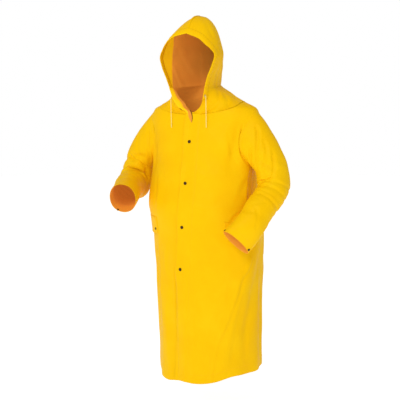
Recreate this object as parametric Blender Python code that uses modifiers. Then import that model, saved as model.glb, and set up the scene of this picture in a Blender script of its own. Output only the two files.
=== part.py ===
"""A hooded raincoat worn open-handed: body panels, sleeves, hood, storm flap, pocket flaps, snaps, drawstring."""

import bpy
import numpy as np
from mathutils import Matrix, Vector

# ---------------------------------------------------------------- driving sizes, metres and degrees
WALL = 0.0015                    # cloth wall
SEAM_GAP = 0.0003                # clear space at every seam
LIFT = WALL + SEAM_GAP           # how far a piece lying on a panel is moved out from it

UNDERARM = -0.305
SHOULDER_TIP = -0.075
NECK_SEAM = -0.045               # height of the neck seam on the shoulder line
FRONT_NECK_DROP = 0.050          # the neck seam falls this much further to the centre front
BACK_NECK_RISE = 0.018           # and rises this much to the centre back
ARMHOLE_REACH = 33.0             # degrees the armhole cuts into the front and into the back

FLAP_RIGHT_EDGE = -0.024         # storm flap free edge, to the wearer's right of centre front
FLAP_LEFT_EDGE = 0.050           # storm flap sewn edge
POCKET_TOP = -0.540
POCKET_BOTTOM = -0.617
FLAP_STAND = 0.006               # how far the lower edge of a pocket flap stands off
SNAP_RADIUS = 0.0070
SNAP_HEIGHT = 0.0026
SMALL_SNAP_RADIUS = 0.0052
# front snaps: height, place across the flap in quarters of its width
FRONT_SNAPS = ((-0.212, 2.22), (-0.384, 2.0), (-0.568, 2.0), (-0.748, 2.0))
CASING_WIDTH = 0.025
EYELET_RADIUS = 0.0052
EYELET_WIRE = 0.0011
CUFF_SNAPS_LEFT = (2.90, 11.2)   # places round the left cuff, in twentieths of a turn
CUFF_SNAP_RIGHT = 13.3
CORD_RADIUS = 0.0014
CORD_DROP = 0.128

# body sections: height, half width, front depth, back depth, centre x, centre y
BODY = np.array((
    (-1.228, 0.236, 0.204, 0.205, 0.030, 0.020),
    (-0.900, 0.246, 0.199, 0.200, 0.021, 0.020),
    (-0.750, 0.252, 0.197, 0.198, 0.018, 0.021),
    (-0.620, 0.258, 0.194, 0.189, 0.013, 0.022),
    (-0.560, 0.260, 0.192, 0.184, 0.007, 0.018),
    (-0.490, 0.260, 0.186, 0.180, -0.007, 0.012),
    (-0.420, 0.254, 0.169, 0.175, -0.005, 0.007),
    (-0.340, 0.244, 0.152, 0.168, -0.003, 0.002),
    (-0.305, 0.240, 0.143, 0.163, -0.003, 0.000),
    (-0.200, 0.258, 0.126, 0.146, 0.001, 0.000),
    (-0.120, 0.262, 0.110, 0.122, 0.004, 0.000),
    (-0.075, 0.245, 0.104, 0.108, 0.006, 0.000),
    (-0.045, 0.186, 0.098, 0.096, 0.006, 0.000),
    (-0.020, 0.150, 0.092, 0.088, 0.005, 0.000),
))

# lower edge: angle, how far it lies above its level
HEM_LEVEL = np.array((
    (-180.0, 0.000),
    (-80.0, 0.000),
    (-35.0, -0.016),
    (-8.0, -0.004),
    (14.0, -0.004),
    (55.0, 0.032),
    (105.0, 0.030),
    (145.0, 0.008),
    (180.0, 0.000),
))
HEM_FADE = 0.30                  # the lower edge's wave dies out this far above it

# centre front line: height, x
CENTRE_FRONT = np.array((
    (-1.228, -0.018),
    (-0.800, -0.010),
    (-0.560, 0.000),
    (-0.400, 0.006),
    (-0.095, 0.002),
))

# soft folds pressed into the body: angle, height, half angle, half length, lean in degrees a metre, depth
BODY_FOLDS = np.array((
    (-17.0, -1.020, 7.0, 0.230, 0.0, -0.014),
    (48.0, -0.980, 11.0, 0.320, 75.0, 0.010),
    (82.0, -0.820, 9.0, 0.200, 75.0, -0.010),
    (-48.0, -0.920, 9.0, 0.260, 0.0, -0.007),
    (100.0, -0.950, 9.0, 0.260, 0.0, -0.012),
    (140.0, -0.880, 9.0, 0.300, 0.0, -0.012),
    (-150.0, -0.900, 10.0, 0.300, 0.0, -0.012),
    (-108.0, -0.930, 8.0, 0.260, 0.0, -0.010),
    (92.0, -0.435, 13.0, 0.100, 0.0, -0.013),
    (-98.0, -0.430, 13.0, 0.100, 0.0, -0.016),
    (52.0, -0.235, 7.0, 0.090, 0.0, -0.009),
    (-54.0, -0.250, 7.0, 0.090, 0.0, -0.009),
    (150.0, -0.300, 9.0, 0.150, 40.0, -0.008),
    (-150.0, -0.300, 9.0, 0.150, -40.0, -0.008),
))

# sleeve stations: x, y, z, half across, half deep
SLEEVE_LEFT = np.array((
    (0.236, 0.000, -0.190, 0.095, 0.095),
    (0.262, 0.002, -0.240, 0.070, 0.070),
    (0.301, 0.006, -0.304, 0.072, 0.072),
    (0.335, 0.000, -0.385, 0.067, 0.069),
    (0.315, -0.074, -0.472, 0.061, 0.060),
    (0.286, -0.136, -0.554, 0.063, 0.050),
    (0.251, -0.173, -0.610, 0.067, 0.030),
))
SLEEVE_RIGHT = np.array((
    (-0.234, 0.000, -0.190, 0.095, 0.095),
    (-0.270, 0.000, -0.238, 0.071, 0.071),
    (-0.318, 0.000, -0.300, 0.072, 0.072),
    (-0.344, -0.018, -0.376, 0.068, 0.069),
    (-0.324, -0.098, -0.416, 0.064, 0.064),
    (-0.280, -0.182, -0.434, 0.064, 0.060),
    (-0.250, -0.250, -0.453, 0.065, 0.057),
))
CUFF_FLAT_LEFT = (0.70, -0.70, 0.05)      # direction in which the left cuff is pressed flat
CUFF_FLAT_RIGHT = (1.00, 0.00, 0.00)
CUFF_SLANT_LEFT = 0.011                   # how far the near lip is drawn up and the far lip let down
CUFF_SLANT_RIGHT = 0.0
# folds on a sleeve: share of its length, angle round it, half share, half angle, lean, depth
SLEEVE_FOLDS_LEFT = np.array((
    (0.22, 95.0, 0.10, 14.0, 30.0, -0.009),
    (0.26, 140.0, 0.12, 14.0, 60.0, -0.008),
    (0.52, 20.0, 0.020, 60.0, 0.0, -0.010),
    (0.58, 40.0, 0.018, 55.0, 0.0, -0.007),
    (0.74, 100.0, 0.035, 70.0, 0.0, -0.004),
    (0.13, 175.0, 0.070, 45.0, 0.0, -0.010),
    (0.30, 170.0, 0.080, 45.0, 0.0, 0.006),
))
SLEEVE_FOLDS_RIGHT = np.array((
    (0.24, 80.0, 0.11, 14.0, 30.0, -0.009),
    (0.30, 125.0, 0.10, 14.0, 60.0, -0.008),
    (0.52, 60.0, 0.022, 60.0, 0.0, -0.010),
    (0.60, 80.0, 0.018, 55.0, 0.0, -0.007),
    (0.80, 100.0, 0.030, 70.0, 0.0, -0.004),
    (0.52, 305.0, 0.120, 40.0, 0.0, 0.020),
))

# face edge of the hood: share of the way up, half width, y, z
RIM = np.array((
    (0.000, 0.000, -0.1040, -0.0950),
    (0.100, 0.030, -0.1090, -0.0830),
    (0.180, 0.055, -0.1150, -0.0620),
    (0.250, 0.068, -0.1220, -0.0390),
    (0.350, 0.081, -0.1280, 0.0100),
    (0.450, 0.095, -0.1310, 0.0530),
    (0.550, 0.116, -0.1320, 0.0980),
    (0.660, 0.130, -0.1320, 0.1430),
    (0.750, 0.118, -0.1330, 0.1740),
    (0.830, 0.096, -0.1340, 0.2000),
    (0.910, 0.062, -0.1350, 0.2210),
    (1.000, 0.000, -0.1370, 0.2310),
))
# centre seam of the hood and the shape of each rib: share, back y, z, side fullness, turn of the end
SEAM = np.array((
    (0.000, 0.092, -0.0270, 0.00, 0.0),
    (0.350, 0.104, 0.0350, 0.80, 0.0),
    (0.500, 0.096, 0.1000, 0.63, 0.0),
    (0.660, 0.077, 0.1750, 0.34, 6.0),
    (0.780, 0.060, 0.2480, 0.45, 18.0),
    (0.880, 0.044, 0.2970, 0.60, 40.0),
    (0.950, 0.018, 0.3130, 0.68, 64.0),
    (1.000, -0.028, 0.3130, 0.60, 90.0),
))
# the wearer's right side of the face edge falls wider: share, extra half width
RIM_RIGHT_EXTRA = np.array((
    (0.00, 0.000),
    (0.25, 0.004),
    (0.45, 0.009),
    (0.60, 0.006),
    (0.75, 0.000),
    (1.00, 0.000),
))
# the wearer's left side of the face edge hangs lower near the crown: share, loss of half width, drop
RIM_LEFT_HANG = np.array((
    (0.00, 0.000, 0.000),
    (0.60, 0.000, 0.000),
    (0.75, 0.008, 0.010),
    (0.83, 0.010, 0.017),
    (0.91, 0.006, 0.013),
    (1.00, 0.000, 0.000),
))
HOOD_SHARES = (0.0, 0.10, 0.18, 0.25, 0.35, 0.45, 0.55, 0.63, 0.70, 0.77, 0.83, 0.88, 0.93, 0.97, 1.0)
CASING_FROM = 3                  # the casing starts at this rib

BODY_ROWS = np.array((-1.228, -1.13, -1.03, -0.93, -0.84, -0.76, -0.68, -0.617, -0.54, -0.48, -0.42, -0.36))
ARMHOLE_STEPS = 10
SHOULDER_ROWS = np.array((-0.060, -0.045))
FRONT_STEPS = 8
BACK_STEPS = 16
SLEEVE_STEPS = 16

# ---------------------------------------------------------------- scene and materials
for item in list(bpy.data.objects):
    bpy.data.objects.remove(item, do_unlink=True)
coat = bpy.data.collections.new("hooded_raincoat")
bpy.context.scene.collection.children.link(coat)


def new_material(name, colour, rough, metal=0.0):
    """A plain Principled material."""
    made = bpy.data.materials.new(name)
    made.use_nodes = True
    shader = made.node_tree.nodes["Principled BSDF"]
    shader.inputs["Base Color"].default_value = (*colour, 1.0)
    shader.inputs["Roughness"].default_value = rough
    shader.inputs["Metallic"].default_value = metal
    made.diffuse_color = (*colour, 1.0)
    return made


def cloth(name):
    """Yellow coated cloth."""
    return new_material(name + "_cloth", (0.93, 0.58, 0.02), 0.42)


# ---------------------------------------------------------------- curves through short tables
def through(knots, values, at):
    """A smooth curve through the table's values that never passes beyond them."""
    knots = np.asarray(knots, float)
    values = np.asarray(values, float)
    if values.ndim == 1:
        values = values[:, None]
        flat = True
    else:
        flat = False
    step = np.diff(knots)[:, None]
    slope = np.diff(values, axis=0) / step
    tangent = np.zeros_like(values)
    tangent[0] = slope[0]
    tangent[-1] = slope[-1]
    for i in range(1, len(knots) - 1):
        same = slope[i - 1] * slope[i] > 0
        w1 = 2 * step[i] + step[i - 1]
        w2 = step[i] + 2 * step[i - 1]
        safe_a = np.where(same, slope[i - 1], 1.0)
        safe_b = np.where(same, slope[i], 1.0)
        tangent[i] = np.where(same, (w1 + w2) / (w1 / safe_a + w2 / safe_b), 0.0)
    at = np.clip(np.asarray(at, float), knots[0], knots[-1])
    k = np.clip(np.searchsorted(knots, at, side="right") - 1, 0, len(knots) - 2)
    h = step[k, 0]
    t = (at - knots[k]) / h
    t = t[..., None]
    h = h[..., None]
    made = (
        (2 * t**3 - 3 * t**2 + 1) * values[k]
        + (t**3 - 2 * t**2 + t) * h * tangent[k]
        + (3 * t**2 - 2 * t**3) * values[k + 1]
        + (t**3 - t**2) * h * tangent[k + 1]
    )
    return made[..., 0] if flat else made


def smooth_step(t):
    """From 0 to 1 with level ends."""
    t = np.clip(t, 0.0, 1.0)
    return t * t * (3 - 2 * t)


def unit(v):
    """Vectors of length one."""
    return v / np.maximum(np.linalg.norm(v, axis=-1, keepdims=True), 1e-12)


# ---------------------------------------------------------------- the body's form
def seam_height(angle, row):
    """A row of the body follows the wavy lower edge, and tips to the front as it nears the neck seam."""
    c = np.cos(angle)
    turn = (np.degrees(angle) + 180.0) % 360.0 - 180.0
    wave = through(HEM_LEVEL[:, 0], HEM_LEVEL[:, 1], turn)
    row = row + wave * smooth_step(1 - (row - BODY_ROWS[0]) / HEM_FADE)
    drop = np.where(c > 0, -FRONT_NECK_DROP * c**2, BACK_NECK_RISE * c**2)
    return row + drop * smooth_step((row - UNDERARM - 0.03) / (NECK_SEAM - UNDERARM - 0.03))


def body_point(angle, row):
    """A point of the body. The angle runs from centre front, positive to the wearer's left."""
    angle = np.asarray(angle, float)
    height = seam_height(angle, np.asarray(row, float))
    section = through(BODY[:, 0], BODY[:, 1:], height)
    half, front, back, centre_x, centre_y = np.moveaxis(section, -1, 0)
    s = np.sin(angle)
    c = np.cos(angle)
    depth = np.where(c > 0, front, back)
    swell = np.zeros_like(height)
    degrees = np.degrees(angle)
    for a, z, wide, length, lean, deep in BODY_FOLDS:
        off = (degrees - a - lean * (height - z) + 180.0) % 360.0 - 180.0
        swell = swell + deep * np.exp(-((off / wide) ** 2) - ((height - z) / length) ** 4)
    x = centre_x + (half + swell) * s
    y = centre_y - (depth + swell) * c
    return np.stack((x, y, height), -1)


def angle_at_x(off_centre, row):
    """The front angle at which a row passes this far to the left of the centre front line."""
    x = through(CENTRE_FRONT[:, 0], CENTRE_FRONT[:, 1], row) + off_centre
    section = through(BODY[:, 0], BODY[:, 1:], seam_height(np.zeros_like(row), row))
    return np.arcsin((x - section[..., 3]) / section[..., 0])


def armhole_cut(row):
    """How many degrees of front and back the armhole takes away at this height."""
    middle = (UNDERARM + SHOULDER_TIP) / 2
    half = (SHOULDER_TIP - UNDERARM) / 2
    return ARMHOLE_REACH * np.sqrt(np.clip(1 - ((row - middle) / half) ** 2, 0.0, 1.0))


def row_heights():
    """Rows from hem to neck seam, closer together at both ends of the armhole."""
    turn = np.linspace(np.pi, 0, ARMHOLE_STEPS + 1)
    middle = (UNDERARM + SHOULDER_TIP) / 2
    half = (SHOULDER_TIP - UNDERARM) / 2
    return np.concatenate((BODY_ROWS, middle + half * np.cos(turn), SHOULDER_ROWS))


def pull_edges(grid, amount, first_row=False, last_row=False, first_column=False, last_column=False):
    """Draw the named edges of a grid back along the cloth to leave the seam's gap."""
    grid = grid.copy()
    if first_row:
        grid[0] += unit(grid[1] - grid[0]) * amount
    if last_row:
        grid[-1] += unit(grid[-2] - grid[-1]) * amount
    if first_column:
        grid[:, 0] += unit(grid[:, 1] - grid[:, 0]) * amount
    if last_column:
        grid[:, -1] += unit(grid[:, -2] - grid[:, -1]) * amount
    return grid


def bend_room(one, other):
    """Half the room two walls need where they meet at an angle, worked out from their directions outward."""
    level = np.clip(np.sum(one * other, axis=-1), 0.2, 1.0)
    return SEAM_GAP / 2 + WALL / 2 * np.sqrt((1 - level) / (1 + level))


def grid_normals(grid, outside):
    """Outward normals of a grid; outside is +1 or -1."""
    along = np.gradient(grid, axis=0)
    across = np.gradient(grid, axis=1)
    return unit(np.cross(across, along)) * outside


# ---------------------------------------------------------------- from grid to solid
def shell(name, grid, outside=1, closed=False, wall=WALL, offset=0.0, material=None):
    """A cloth wall on a grid: an open surface with Solidify."""
    rows, columns = grid.shape[:2]
    last = columns if closed else columns - 1
    faces = []
    for i in range(rows - 1):
        for j in range(last):
            k = (j + 1) % columns
            quad = (i * columns + j, i * columns + k, (i + 1) * columns + k, (i + 1) * columns + j)
            faces.append(quad if outside > 0 else quad[::-1])
    mesh = bpy.data.meshes.new(name)
    mesh.from_pydata([tuple(p) for p in grid.reshape(-1, 3)], [], faces)
    mesh.validate()
    made = bpy.data.objects.new(name, mesh)
    coat.objects.link(made)
    mesh.materials.append(material or cloth(name))
    thicken = made.modifiers.new("wall", "SOLIDIFY")
    thicken.thickness = wall
    thicken.offset = offset
    thicken.use_even_offset = False
    return made


# ---------------------------------------------------------------- front, back
rows = row_heights()
quarter = np.pi / 2
cut = np.radians(armhole_cut(rows))
steps = np.linspace(0.0, 1.0, FRONT_STEPS + 1)

centre = angle_at_x(0.0, rows)
left_flap = angle_at_x(FLAP_LEFT_EDGE, rows)
left_half = angle_at_x(FLAP_LEFT_EDGE / 2, rows)
right_half = angle_at_x(FLAP_RIGHT_EDGE / 2, rows)
right_flap = angle_at_x(FLAP_RIGHT_EDGE, rows)

left_angles = np.concatenate((
    centre[:, None],
    left_half[:, None],
    left_flap[:, None] + (quarter - left_flap)[:, None] * steps - cut[:, None] * steps**2,
), axis=1)
right_angles = np.concatenate((
    centre[:, None],
    right_half[:, None],
    right_flap[:, None] - (quarter + right_flap)[:, None] * steps + cut[:, None] * steps**2,
), axis=1)
back_steps = np.linspace(-1.0, 1.0, BACK_STEPS + 1)
back_angles = np.pi + quarter * back_steps - cut[:, None] * back_steps * np.abs(back_steps)

grid_left = body_point(left_angles, rows[:, None] + 0 * left_angles)
grid_right = body_point(right_angles, rows[:, None] + 0 * right_angles)
grid_back = body_point(back_angles, rows[:, None] + 0 * back_angles)

half_gap = SEAM_GAP / 2
left_out = grid_normals(grid_left, 1)
right_out = grid_normals(grid_right, -1)
back_out = grid_normals(grid_back, 1)
left_side_room = bend_room(left_out[:, -1], back_out[:, 0])[:, None]
right_side_room = bend_room(right_out[:, -1], back_out[:, -1])[:, None]

cut_left = pull_edges(grid_left, half_gap, last_row=True, first_column=True)
cut_right = pull_edges(grid_right, half_gap, last_row=True, first_column=True)
cut_back = pull_edges(grid_back, half_gap, last_row=True)
shell("front_left", pull_edges(cut_left, left_side_room, last_column=True))
shell("front_right", pull_edges(cut_right, right_side_room, last_column=True), -1)
cut_back = pull_edges(cut_back, left_side_room, first_column=True)
shell("back", pull_edges(cut_back, right_side_room, last_column=True))

# ---------------------------------------------------------------- storm flap over both front edges
flap_angles = np.stack((right_flap, right_half, centre, left_half, left_flap), axis=1)
flap_grid = body_point(flap_angles, rows[:, None] + 0 * flap_angles)
flap_out = grid_normals(flap_grid, 1)
flap_grid = flap_grid + flap_out * LIFT
shell("storm_flap", pull_edges(flap_grid, half_gap, last_row=True))


# ---------------------------------------------------------------- pocket flaps lie on the fronts
def pocket_flap(name, grid, outside, columns):
    """A flap made from its front's own points, moved out, standing off a little at its lower edge."""
    low = int(np.argmin(np.abs(rows - POCKET_BOTTOM)))
    out = grid_normals(grid, outside)
    t = np.linspace(0.0, 1.0, 4)[:, None, None]
    points = (1 - t) * grid[low, columns] + t * grid[low + 1, columns]
    away = unit((1 - t) * out[low, columns] + t * out[low + 1, columns])
    made = points + away * (LIFT + FLAP_STAND * (1 - t))
    shell(name, made, outside)
    return made


pocket_left_grid = pocket_flap("pocket_flap_left", grid_left, 1, slice(5, 10))
pocket_right_grid = pocket_flap("pocket_flap_right", grid_right, -1, slice(5, 10))


# ---------------------------------------------------------------- sleeves
def sleeve_frames(stations):
    """Centre, axes and half sizes along a sleeve, the axes carried along without twist."""
    place = np.concatenate(((0.0,), np.cumsum(np.linalg.norm(np.diff(stations[:, :3], axis=0), axis=1))))
    fine = np.linspace(0.0, place[-1], 241)
    centre_line = natural_curve(place, stations[:, :3], fine)
    sizes = through(place, stations[:, 3:5], fine)
    heading = unit(np.gradient(centre_line, axis=0))
    down = np.zeros_like(heading)
    start = np.array((0.0, 0.0, -1.0))
    for i in range(len(fine)):
        start = start - heading[i] * np.dot(start, heading[i])
        start = start / np.linalg.norm(start)
        down[i] = start
    return fine / place[-1], centre_line, heading, down, sizes


def natural_curve(knots, values, at):
    """A curve through all the stations with even bending."""
    n = len(knots)
    step = np.diff(knots)
    system = np.zeros((n, n))
    right = np.zeros((n, values.shape[1]))
    system[0, 0] = 1.0
    system[-1, -1] = 1.0
    for i in range(1, n - 1):
        system[i, i - 1] = step[i - 1]
        system[i, i] = 2 * (step[i - 1] + step[i])
        system[i, i + 1] = step[i]
        right[i] = 6 * ((values[i + 1] - values[i]) / step[i] - (values[i] - values[i - 1]) / step[i - 1])
    bend = np.linalg.solve(system, right)
    k = np.clip(np.searchsorted(knots, at, side="right") - 1, 0, n - 2)
    h = step[k][:, None]
    a = (knots[k + 1] - at)[:, None] / h
    b = (at - knots[k])[:, None] / h
    return a * values[k] + b * values[k + 1] + ((a**3 - a) * bend[k] + (b**3 - b) * bend[k + 1]) * h**2 / 6


def sleeve_grid(stations, side, flat, slant, folds):
    """Rings from the armhole's own loop to an oval, flatter at the cuff."""
    lo = len(BODY_ROWS)
    hi = lo + ARMHOLE_STEPS
    heights = rows[lo : hi + 1]
    reach = np.radians(armhole_cut(heights))
    front_edge = body_point(side * (quarter - reach), heights)
    back_edge = body_point(side * (quarter + reach), heights)
    loop = np.concatenate((front_edge, back_edge[-2:0:-1]))
    count = len(loop)
    share, line, heading, down, sizes = sleeve_frames(stations)
    at = np.linspace(0.0, 1.0, SLEEVE_STEPS + 1)
    turn = 2 * np.pi * np.arange(count) / count
    rings = []
    fan = smooth_step(share / 0.30)[:, None]
    heading = unit((1 - fan) * np.array((side, 0.0, 0.0)) + fan * heading)
    start = np.array((0.0, 0.0, -1.0))
    for i in range(len(heading)):
        start = start - heading[i] * np.dot(start, heading[i])
        start = start / np.linalg.norm(start)
        down[i] = start
    ahead0 = heading[0]
    down0 = down[0]
    front0 = np.cross(ahead0, down0) * (-side)
    from_centre = loop - line[0]
    loop_v = from_centre @ down0
    loop_u = from_centre @ front0
    loop_w = from_centre @ ahead0
    press = unit(np.array(flat))
    for a in at:
        i = int(round(a * (len(share) - 1)))
        ahead = heading[i]
        low = down[i]
        front = np.cross(ahead, low) * (-side)
        wide, deep = sizes[i]
        blend = smooth_step(a / 0.34)
        fold = np.zeros(count)
        for fa, fr, la, lr, lean, deep_fold in folds:
            off = (np.degrees(turn) - fr - lean * (a - fa) * 10 + 180.0) % 360.0 - 180.0
            fold = fold + deep_fold * np.exp(-((off / lr) ** 2) - ((a - fa) / la) ** 2)
        even = (wide + deep) / 2
        v = (1 - blend) * loop_v + blend * (even + fold) * np.cos(turn)
        u = (1 - blend) * loop_u + blend * (even + fold) * np.sin(turn)
        w = (1 - blend) * loop_w
        hold = 1 - smooth_step((a - 0.26) / 0.16)
        pivot = loop[0] + np.array((side * 0.026, 0.0, -0.034)) * smooth_step(a / 0.34) - line[i]
        under = np.clip(np.cos(turn), 0.0, 1.0)
        v = np.where(v > 0, v * (1 + hold * ((pivot @ low) / v[0] - 1)), v)
        w = w + hold * (pivot @ ahead - w[0]) * under**2
        offset = v[:, None] * low + u[:, None] * front + w[:, None] * ahead
        axis = unit(press - ahead * (press @ ahead))
        other = np.cross(ahead, axis)
        ratio_in = deep / even
        ratio_out = wide / even
        offset = (
            offset
            + (offset @ axis)[:, None] * axis * (ratio_in - 1) * blend
            + (offset @ other)[:, None] * other * (ratio_out - 1) * blend
        )
        tip = slant * smooth_step((a - 0.78) / 0.22)
        offset = offset - (offset @ axis)[:, None] / deep * tip * ahead
        rings.append(line[i] + offset)
    grid = np.stack(rings)
    grid[0] = loop
    return grid


sleeve_left_grid = sleeve_grid(SLEEVE_LEFT, 1, CUFF_FLAT_LEFT, CUFF_SLANT_LEFT, SLEEVE_FOLDS_LEFT)
sleeve_right_grid = sleeve_grid(SLEEVE_RIGHT, -1, CUFF_FLAT_RIGHT, CUFF_SLANT_RIGHT, SLEEVE_FOLDS_RIGHT)


def ring_normals(grid, outside):
    """Outward normals of a grid that closes on itself."""
    wide = np.concatenate((grid[:, -1:], grid, grid[:, :1]), 1)
    return grid_normals(wide, outside)[:, 1:-1]


def armhole_loop_of(front_field, back_field):
    """The values of the two panels round the armhole, in the sleeve's order."""
    lo = len(BODY_ROWS)
    hi = lo + ARMHOLE_STEPS
    return np.concatenate((front_field[lo : hi + 1], back_field[lo : hi + 1][-2:0:-1]))


left_loop_out = armhole_loop_of(left_out[:, -1], back_out[:, 0])
right_loop_out = armhole_loop_of(right_out[:, -1], back_out[:, -1])
left_sleeve_out = ring_normals(sleeve_left_grid, -1)
right_sleeve_out = ring_normals(sleeve_right_grid, 1)
under_weight = np.clip(np.cos(2 * np.pi * np.arange(2 * ARMHOLE_STEPS) / (2 * ARMHOLE_STEPS)), 0.0, 1.0)
for name, grid, outside, loop_out, sleeve_out in (
    ("sleeve_left", sleeve_left_grid, -1, left_loop_out, left_sleeve_out),
    ("sleeve_right", sleeve_right_grid, 1, right_loop_out, right_sleeve_out),
):
    room = 2 * bend_room(loop_out, sleeve_out[0]) + 3 * SEAM_GAP * under_weight
    shell(name, pull_edges(grid, room[:, None], first_row=True), outside, closed=True)


# ---------------------------------------------------------------- hood
def rib(share, count, extra, hang):
    """A rib at this share of the way from neck to crown, its points set out by length."""
    half, y, z = through(RIM[:, 0], RIM[:, 1:], np.array((share,)))[0]
    half = half + extra - hang[0]
    z = z - hang[1]
    back_y, back_z, full, turn = through(SEAM[:, 0], SEAM[:, 1:], np.array((share,)))[0]
    start = np.array((half, y, z))
    end = np.array((0.0, back_y, back_z))
    top = smooth_step((share - 0.62) / 0.38)
    reach = np.linalg.norm(end - start)
    leave = unit(np.array((0.10 * (1 - top), 1.0 - 0.45 * top, 0.95 * top + 0.05))) * reach * (0.52 - 0.10 * top)
    swing = np.radians(turn)
    side = max(half, 0.075) * 0.62 + 0.030 * top
    arrive = np.array((np.cos(swing), -np.sin(swing), 0.0)) * full * (side * 1.35)
    t = np.linspace(0.0, 1.0, 121)[:, None]
    one = start + leave + np.array((hang[0], 0.0, hang[1])) * 1.8
    two = end + arrive
    dense = (1 - t) ** 3 * start + 3 * (1 - t) ** 2 * t * one + 3 * (1 - t) * t**2 * two + t**3 * end
    run = np.concatenate(((0.0,), np.cumsum(np.linalg.norm(np.diff(dense, axis=0), axis=1))))
    first = (0.0, CASING_WIDTH / 2)
    marks = np.concatenate((first, np.linspace(CASING_WIDTH, run[-1], count - 2)))
    return np.stack([np.interp(marks, run, dense[:, k]) for k in range(3)], -1)


def hood_half(side, angles):
    """Ribs from the neck seam's own points up to the crown."""
    ring = body_point(angles, np.full(len(angles), NECK_SEAM))
    flip = np.array((side, 1.0, 1.0))
    foot_share = HOOD_SHARES[CASING_FROM + 1]
    wider = through(RIM_RIGHT_EXTRA[:, 0], RIM_RIGHT_EXTRA[:, 1], np.array(HOOD_SHARES)) * (side < 0)
    lower = through(RIM_LEFT_HANG[:, 0], RIM_LEFT_HANG[:, 1:], np.array(HOOD_SHARES)) * (side > 0)
    foot = rib(foot_share, len(angles), wider[CASING_FROM + 1], np.zeros(2)) * flip
    ribs = []
    for share, extra, hang in zip(HOOD_SHARES, wider, lower):
        if share < foot_share:
            t = share / foot_share
            made = ring + (foot - ring) * t
            half, y, z = through(RIM[:, 0], RIM[:, 1:], np.array((share,)))[0]
            edge = np.array((half + extra, y, z)) * flip
            fade = (1 - np.linspace(0.0, 1.0, len(angles))) ** 3
            made = made + (edge - made[0]) * fade[:, None] * min(1.0, t * 8)
        else:
            made = rib(share, len(angles), extra, hang) * flip
        ribs.append(made)
    grid = np.stack(ribs)
    grid[1:, -1, 0] = 0.0
    grid[-1, :, 0] = 0.0
    return grid


def part_at_centre(grid, side):
    """Draw the centre seam's points aside, further where the cloth leans, and open the front corner."""
    out = grid_normals(grid, side)
    room = side * (SEAM_GAP / 2 + WALL / 2 * np.abs(out[..., 0]))
    grid = grid.copy()
    grid[1:, -1, 0] = room[1:, -1]
    grid[-1, :, 0] = room[-1]
    grid[0, 0] += unit(grid[0, 1] - grid[0, 0]) * 0.0025
    grid[0, -1] += unit(grid[0, -2] - grid[0, -1]) * 0.0003
    return grid


top_left = np.concatenate((left_angles[-1], back_angles[-1, 1 : BACK_STEPS // 2 + 1]))
top_right = np.concatenate((right_angles[-1], back_angles[-1, BACK_STEPS // 2 : -1][::-1] - 2 * np.pi))
hood_left_grid = hood_half(1.0, top_left)
hood_right_grid = hood_half(-1.0, top_right)
back_middle = BACK_STEPS // 2
seam_out = {
    "hood_left": np.concatenate((left_out[-1], back_out[-1, 1 : back_middle + 1])),
    "hood_right": np.concatenate((right_out[-1], back_out[-1, back_middle:-1][::-1])),
}
for name, grid, outside in (("hood_left", hood_left_grid, 1), ("hood_right", hood_right_grid, -1)):
    parted = part_at_centre(grid, outside)
    base_room = bend_room(grid_normals(grid, outside)[0], seam_out[name])
    base_room[:2] += SEAM_GAP
    shell(name, pull_edges(parted, 2 * base_room[:, None] + 1.5 * SEAM_GAP, first_row=True), outside)

# ---------------------------------------------------------------- casing round the face edge
hood_left_out = grid_normals(hood_left_grid, 1)
hood_right_out = grid_normals(hood_right_grid, -1)
left_band = (hood_left_grid + hood_left_out * LIFT)[CASING_FROM:, 0:3]
right_band = (hood_right_grid + hood_right_out * LIFT)[CASING_FROM:, 0:3]
casing_grid = np.concatenate((right_band[:-1], ((left_band[-1:] + right_band[-1:]) / 2), left_band[-2::-1]))
shell("hood_casing", casing_grid, -1)


# ---------------------------------------------------------------- snaps
def spot(grid, normals, row, column):
    """The point and the outward direction at a fractional place of a grid."""
    i = int(row)
    j = int(column)
    a = row - i
    b = column - j
    def mix(field):
        upper = field[i + 1, j] * (1 - b) + field[i + 1, (j + 1) % field.shape[1]] * b
        lower = field[i, j] * (1 - b) + field[i, (j + 1) % field.shape[1]] * b
        return lower * (1 - a) + upper * a
    return mix(grid), unit(mix(normals))


def snap(name, place, away, radius, lift):
    """A low round metal cap standing on the cloth."""
    bpy.ops.mesh.primitive_cylinder_add(vertices=20, radius=radius, depth=SNAP_HEIGHT)
    made = bpy.context.object
    made.name = name
    for holder in list(made.users_collection):
        holder.objects.unlink(made)
    coat.objects.link(made)
    turn = Vector(away).to_track_quat("Z", "Y")
    made.matrix_world = Matrix.Translation(Vector(place + away * (lift + SNAP_HEIGHT / 2))) @ turn.to_matrix().to_4x4()
    made.data.materials.append(new_material(name + "_metal", (0.055, 0.04, 0.035), 0.35, 0.6))
    round_top = made.modifiers.new("rounded", "BEVEL")
    round_top.width = SNAP_HEIGHT * 0.38
    round_top.segments = 2
    round_top.limit_method = "ANGLE"
    return made


FACE = WALL / 2 + SEAM_GAP
flap_normals = grid_normals(flap_grid, 1)
flap_levels = flap_grid[:, 2, 2]
for number, (height, column) in enumerate(FRONT_SNAPS):
    row = float(np.interp(height, flap_levels, np.arange(len(rows))))
    place, away = spot(flap_grid, flap_normals, row, column)
    snap("snap_front_" + str(number + 1), place, away, SNAP_RADIUS, FACE)

place, away = spot(hood_right_grid, hood_right_out, 1.3, 0.8)
snap("snap_collar", place, away, SMALL_SNAP_RADIUS, FACE + 0.0010)

place, away = spot(pocket_left_grid, grid_normals(pocket_left_grid, 1), 0.9, 0.45)
snap("snap_pocket_left", place, away, SMALL_SNAP_RADIUS, FACE)
place, away = spot(pocket_right_grid, grid_normals(pocket_right_grid, -1), 0.9, 0.45)
snap("snap_pocket_right", place, away, SMALL_SNAP_RADIUS, FACE)


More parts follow.
